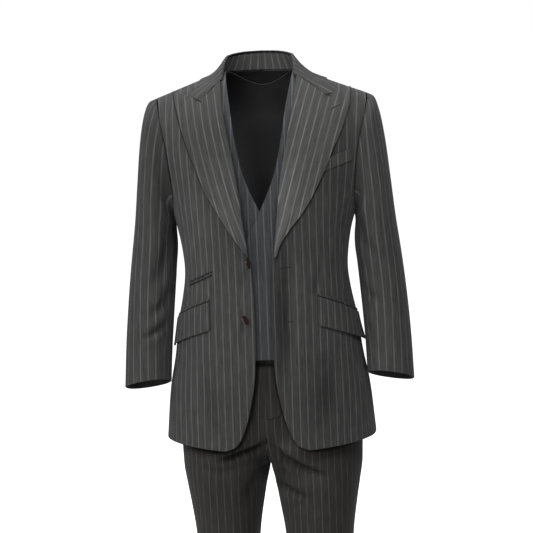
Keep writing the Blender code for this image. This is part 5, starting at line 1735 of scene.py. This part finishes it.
# %% Buttons' sizes and places
FRONT_BUTTON = {"radius": 0.0105, "thickness": 0.0034}
WAISTCOAT_BUTTON = {"radius": 0.0075, "thickness": 0.0026}
BUTTON_FOOT = 0.86  # the lower face's radius as a share of the upper one's
BUTTON_DISH = 0.25  # the middle's depth as a share of the thickness
UPPER_BUTTON = {"x": -0.0270, "z": -0.3800, "tilt": 62.0, "lean": 20.0}
LOWER_BUTTON = {"x": -0.0365, "z": -0.4940, "tilt": 60.0, "lean": 28.0}
WAISTCOAT_BUTTON_X = -0.043
WAISTCOAT_BUTTON_LEVELS = (-0.375, -0.44, -0.505)

print("coat button:", 2 * FRONT_BUTTON["radius"], "m across")

# %% The button's heights
BUTTON_RIM_RISE = 0.0005
HOLE_RADIUS = 0.0009
HOLE_PLACE = 0.0019  # from the middle
RIM_PLACE = 0.86  # the rim's crest, as a share of the radius
RIM_HALF = 0.14
SHANK_RADIUS = 0.0014
SHANK_LENGTH = 0.0015


def button_height(x, y, radius, thickness):
    """The upper face's height over the lower one at a place of the button."""
    out = math.hypot(x, y) / radius
    rim = math.sqrt(max(1 - ((out - RIM_PLACE) / RIM_HALF) ** 2, 0.0)) if out > RIM_PLACE - RIM_HALF else 0.0
    dish = -BUTTON_RIM_RISE * (1 - ease(out, 0.45, 0.75))
    crest = max(rim, ease(out, 0.6, 0.8) * (out < RIM_PLACE))
    height = thickness - BUTTON_RIM_RISE + dish + BUTTON_RIM_RISE * crest
    if out > RIM_PLACE:
        height -= (thickness * 0.35) * (1 - rim)
    scale = radius / FRONT_BUTTON["radius"]
    for turn in (45, 135, 225, 315):
        hole_x = HOLE_PLACE * scale * math.cos(math.radians(turn))
        hole_y = HOLE_PLACE * scale * math.sin(math.radians(turn))
        near = math.hypot(x - hole_x, y - hole_y) / (HOLE_RADIUS * scale)
        height -= 0.6 * thickness * (1 - ease(near, 0.75, 1.1))
    return height


print("rim over dish:", round(button_height(0.009, 0, **FRONT_BUTTON) - button_height(0, 0, **FRONT_BUTTON), 5))

# %% Button, thread and shank
SPOKES = 96
RINGS = ((0.02, 0.42, 22), (0.45, 0.86, 12), (0.89, 1.0, 8))  # from, to and how many, close at holes and rim
STRAND_RADIUS = 0.00034
STRAND_SPACING = 0.0006
STRAND_RISE = 0.0004  # over the dish
STRAND_DIP = 0.0010  # into the holes


def two_looks(name, points, faces, looks, index):
    """A smooth object whose faces have the first or the second look."""
    mesh = bpy.data.meshes.new(name)
    mesh.from_pydata(points, [], faces)
    for look in looks:
        mesh.materials.append(look)
    mesh.polygons.foreach_set("material_index", index)
    mesh.shade_smooth()
    return added(name, mesh)


def button_mesh(name, spec, foot, axis):
    """A button whose lower face has its middle at `foot`, facing along `axis`."""
    radius, thickness = spec["radius"], spec["thickness"]
    shares = np.concatenate([np.linspace(*ring) for ring in RINGS])
    turns = np.linspace(0, 2 * math.pi, SPOKES, endpoint=False)
    points = [(0, 0, button_height(0, 0, radius, thickness))]
    for share in shares:
        circle = [(radius * share * math.cos(a), radius * share * math.sin(a)) for a in turns]
        points += [(x, y, button_height(x, y, radius, thickness)) for x, y in circle]
    for share, height in ((0.985, 0.30), (0.95, 0.12), (BUTTON_FOOT, 0.0)):
        points += [(radius * share * math.cos(a), radius * share * math.sin(a), height * thickness) for a in turns]
    points.append((0, 0, 0.0))
    rings = len(shares) + 3
    faces = [(0, 1 + k, 1 + (k + 1) % SPOKES) for k in range(SPOKES)]
    for ring in range(rings - 1):
        low = 1 + ring * SPOKES
        faces += [(low + k, low + SPOKES + k, low + SPOKES + (k + 1) % SPOKES, low + (k + 1) % SPOKES)
                  for k in range(SPOKES)]
    low = 1 + (rings - 1) * SPOKES
    faces += [(low + (k + 1) % SPOKES, low + k, len(points) - 1) for k in range(SPOKES)]
    horn = len(faces)
    scale = radius / FRONT_BUTTON["radius"]
    top = thickness - BUTTON_RIM_RISE - BUTTON_DISH * thickness * 0.3
    reach = HOLE_PLACE * scale * math.sqrt(0.5)
    for bar in (-1, 1):
        for strand in (-0.5, 0.5):
            first = len(points)
            for k in range(9):
                along = -1 + k / 4
                middle = (along * reach, bar * reach + strand * STRAND_SPACING * scale,
                          top + STRAND_RISE * scale - STRAND_DIP * scale * abs(along) ** 4)
                for j in range(8):
                    a = j * math.pi / 4
                    points.append((middle[0], middle[1] + STRAND_RADIUS * scale * math.cos(a),
                                   middle[2] + STRAND_RADIUS * scale * math.sin(a)))
            for k in range(8):
                at = first + 8 * k
                faces += [(at + j, at + (j + 1) % 8, at + 8 + (j + 1) % 8, at + 8 + j) for j in range(8)]
    first = len(points)
    for height in np.linspace(0.0002, -SHANK_LENGTH, 7):
        wound = SHANK_RADIUS * scale * (1 + 0.12 * math.cos(height / 0.0004 * math.pi))
        points += [(wound * math.cos(a), wound * math.sin(a), height) for a in turns[::6]]
    for k in range(6):
        at = first + 16 * k
        faces += [(at + j, at + 16 + j, at + 16 + (j + 1) % 16, at + (j + 1) % 16) for j in range(16)]
    piece = two_looks(name, points, faces, (HORN, THREAD), [0] * horn + [1] * (len(faces) - horn))
    piece.matrix_world = Matrix.Translation(foot) @ axis.to_track_quat("Z", "Y").to_matrix().to_4x4()
    return piece


def sewn_button(node, spec, foot, axis):
    piece = button_mesh(f"{node}_horn", spec, foot, axis)
    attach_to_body(piece, "root")
    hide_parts(node)
    print(f"{node}: {2000 * spec['radius']:.0f} mm across, at x {foot.x:.3f}, z {foot.z:.3f}")

# %% The coat's two buttons and the waistcoat's three
HANG = {"front_button_upper": (UPPER_BUTTON, 74.0, 0.003), "front_button_lower": (LOWER_BUTTON, 76.0, 0.0)}
for node, (spec, tilt, rise) in HANG.items():
    spec = dict(spec, z=spec["z"] + rise)
    out = form_normal(JACKET, spec["x"], spec["z"], -1)
    tilt, lean = math.radians(tilt), math.radians(spec["lean"])
    axis = Matrix.Rotation(-lean, 3, "Y") @ Matrix.Rotation(tilt, 3, "Z") @ out
    lift = BUTTON_FOOT * FRONT_BUTTON["radius"] * axis.cross(out).length + SEAM
    sewn_button(node, FRONT_BUTTON, JACKET.at(spec["x"], spec["z"], -1) + out * lift, axis)
for number, z in enumerate(WAISTCOAT_BUTTON_LEVELS, 1):
    foot = WAISTCOAT.at(WAISTCOAT_BUTTON_X, z, -1) - Vector((0, OVERLAP_LIFT + SEAM, 0))
    axis = form_normal(WAISTCOAT, WAISTCOAT_BUTTON_X, z, -1)
    sewn_button(f"waistcoat_button_{number}", WAISTCOAT_BUTTON, foot, axis)

# %% [markdown]
# ## Buttonholes
# A buttonhole is a slit with a ridge of purled silk all round. Its thread lies on the cloth, so each place on
# it is found by a ray that meets the finished piece from the front.

# %% Worked buttonholes
STITCHES = 160  # round the slit
ACROSS = 7  # points across the ridge
RIDGE_EDGE = 0.9  # the share of its width at which the ridge ends
RIDGE_HEIGHT = 0.0006
RIDGE_SINK = 0.0001  # how far its edge goes into the cloth


def purled(name, nodes, x, z, turn, length, width, thread):
    """A worked slit on some pieces, with its middle at x and z and turned from level by `turn` degrees."""
    corners, sides = [], []
    for node in nodes:
        mesh = PIECES[node].data
        sides += [[len(corners) + index for index in face.vertices] for face in mesh.polygons]
        corners += [vertex.co for vertex in mesh.vertices]
    tree = BVHTree.FromPolygons(corners, sides)
    along = Vector((math.cos(math.radians(turn)), 0, math.sin(math.radians(turn))))
    aside = Vector((-along.z, 0, along.x))
    straight = length - width
    whole = 2 * straight + math.pi * width
    points = []
    for k in range(STITCHES):
        way = k / STITCHES * whole
        if way < straight:
            centre, out = way - straight / 2, (0, 1)
        elif way < straight + math.pi * width / 2:
            a = (way - straight) / (width / 2)
            centre, out = straight / 2, (math.sin(a), math.cos(a))
        elif way < 2 * straight + math.pi * width / 2:
            centre, out = straight / 2 - (way - straight - math.pi * width / 2), (0, -1)
        else:
            a = (way - 2 * straight - math.pi * width / 2) / (width / 2)
            centre, out = -straight / 2, (-math.sin(a), -math.cos(a))
        for ring in range(ACROSS):
            share = ring / (ACROSS - 1)
            reach = share * width / 2
            place = Vector((x, -1, z)) + along * (centre + out[0] * reach) + aside * (out[1] * reach)
            hit, normal, _, _ = tree.ray_cast(place, Vector((0, 1, 0)))
            normal = normal if normal.y < 0 else -normal
            ridge = math.sin(math.pi * min(share / RIDGE_EDGE, 1.0)) * (0.75 + 0.25 * math.cos(2 * math.pi * k / 4))
            points.append(hit + normal * (RIDGE_HEIGHT * ridge - RIDGE_SINK * (share > RIDGE_EDGE)))
    faces = []
    for k in range(STITCHES):
        low, high = k * ACROSS, (k + 1) % STITCHES * ACROSS
        faces += [(low + j, high + j, high + j + 1, low + j + 1) for j in range(ACROSS - 1)]
    # The two rows beside the slit are painted shade
    index = [1 if j < 2 else 0 for j in range(ACROSS - 1)] * STITCHES
    piece = two_looks(name, points, faces, (thread, PAINTED_SLIT_SHADE), index)
    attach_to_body(piece, "root")
    print(f"{name}: {1000 * length:.0f} mm on {nodes[0]}")


# The notches and the front's buttonholes are drawn wholly in painted slit shade; the lapel's hole has silk thread
HOLES = (
    ("buttonhole_lapel_left", ("lapel_left",), 0.1555, -0.0750, 24, 0.024, 0.0036, THREAD),
    ("buttonhole_front_upper", ("jacket_front_left",), 0.0480, -0.3900, 4, 0.022, 0.0022, PAINTED_SLIT_SHADE),
    ("buttonhole_front_lower", ("jacket_front_left",), 0.0500, -0.5000, 4, 0.022, 0.0022, PAINTED_SLIT_SHADE),
    ("notch_left", ("lapel_left", "collar_leaf", "jacket_front_left"), 0.1415, -0.0510, 9, 0.015, 0.0026, PAINTED_SLIT_SHADE),
    ("notch_right", ("lapel_right", "collar_leaf", "jacket_front_right"), -0.1210, -0.0545, -21, 0.020, 0.0030,
     PAINTED_SLIT_SHADE),
)
for hole in HOLES:
    purled(*hole)

# %% [markdown]
# ## Floor, light and camera
# A pale floor and a white room keep the look of a studio. Three soft lamps stand high in front, two of them
# to the left of the camera, so that folds turn dark on their right and under their lips. A fourth stands
# high behind and lights the shoulders.

# %% Floor and room
FLOOR_SIZE = 40.0
FLOOR_Z = CAD_BOX[0][2] - 0.002
ROOM_LIGHT = 0.05  # how bright the white room is for all but the camera


def stage():
    mesh = bpy.data.meshes.new("floor")
    turns = np.linspace(0, 2 * math.pi, 97)[:-1]
    rim = [(FLOOR_SIZE * math.cos(turn), FLOOR_SIZE * math.sin(turn), 0) for turn in turns]
    mesh.from_pydata(rim, [], [list(range(96))])
    floor = added("floor", mesh)
    floor.location = (0, 0, FLOOR_Z)
    material, tree, shader = new_material("studio_floor")
    where = tree.nodes.new("ShaderNodeTexCoord")
    grain = noise(tree, where.outputs["Object"], 3.0, 3.0)
    colour = blend_colours(tree, grain, (0.72, 0.72, 0.72, 1), (0.78, 0.78, 0.78, 1))
    tree.links.new(colour, shader.inputs["Base Color"])
    shader.inputs["Roughness"].default_value = 0.9
    inside = tree.nodes.new("ShaderNodeVectorMath")
    inside.operation = "LENGTH"
    tree.links.new(where.outputs["Object"], inside.inputs[0])
    far = soft_step(tree, inside.outputs["Value"], 1.6, 2.6)
    seen = tree.nodes.new("ShaderNodeLightPath")
    shader.inputs["Emission Color"].default_value = (1, 1, 1, 1)
    glow = calculate(tree, "MULTIPLY", far, seen.outputs["Is Camera Ray"])
    tree.links.new(glow, shader.inputs["Emission Strength"])
    mesh.materials.append(material)
    world = bpy.data.worlds.new("studio")
    world.use_nodes = True
    tree = world.node_tree
    seen = tree.nodes.new("ShaderNodeLightPath")
    strength = calculate(tree, "MULTIPLY_ADD", seen.outputs["Is Camera Ray"], 1.0 - ROOM_LIGHT, ROOM_LIGHT)
    tree.links.new(strength, tree.nodes["Background"].inputs["Strength"])
    tree.nodes["Background"].inputs["Color"].default_value = (1, 1, 1, 1)
    bpy.context.scene.world = world


stage()

print("floor at", round(FLOOR_Z, 3))

# %% Lamps
MIDDLE = Vector((0, 0, -0.405))
LAMP_DISTANCE = 4.0
LAMP_SIZE = 1.4
LAMPS = table(
    "lamp turn rise power",
    (0, -55, 35, 75),
    (1, -20, 30, 59),
    (2, 30, 50, 81),
    (3, 180, 70, 134),
)


def toward(turn, rise):
    """The direction at this turn round the suit from its front, and this rise, both in degrees."""
    turn, rise = math.radians(turn), math.radians(rise)
    return Vector((math.sin(turn) * math.cos(rise), -math.cos(turn) * math.cos(rise), math.sin(rise)))


def lamp(number, turn, rise, power):
    """A large square lamp at this turn round the suit and rise over it, which faces the suit's middle."""
    back = toward(turn, rise)
    data = bpy.data.lights.new(f"lamp_{number}", "AREA")
    data.shape = "SQUARE"
    data.size = LAMP_SIZE
    data.energy = power
    item = added(f"lamp_{number}", data)
    item.location = MIDDLE + LAMP_DISTANCE * back
    item.rotation_euler = (-back).to_track_quat("-Z", "Y").to_euler()


for row in LAMPS["rows"]:
    lamp(*row)
print("lamps:", len(LAMPS["rows"]))

# %% Camera
CAMERA_TURN = 4.5  # round the suit, in degrees
CAMERA_RISE = 8.5
CAMERA_DISTANCE = 4.2
CAMERA_ROLL = -2.0
CAMERA_LENS = 138.3


def camera():
    back = toward(CAMERA_TURN, CAMERA_RISE)
    data = bpy.data.cameras.new("camera")
    data.lens = CAMERA_LENS
    data.sensor_width = 36.0
    item = added("camera", data)
    item.location = MIDDLE + CAMERA_DISTANCE * back
    facing = (-back).to_track_quat("-Z", "Y").to_matrix()
    item.rotation_euler = (facing @ Matrix.Rotation(math.radians(CAMERA_ROLL), 3, "Z")).to_euler()
    bpy.context.scene.camera = item


camera()
bpy.context.scene.view_settings.view_transform = "Standard"

print("lens:", CAMERA_LENS, "mm at", CAMERA_DISTANCE, "m")
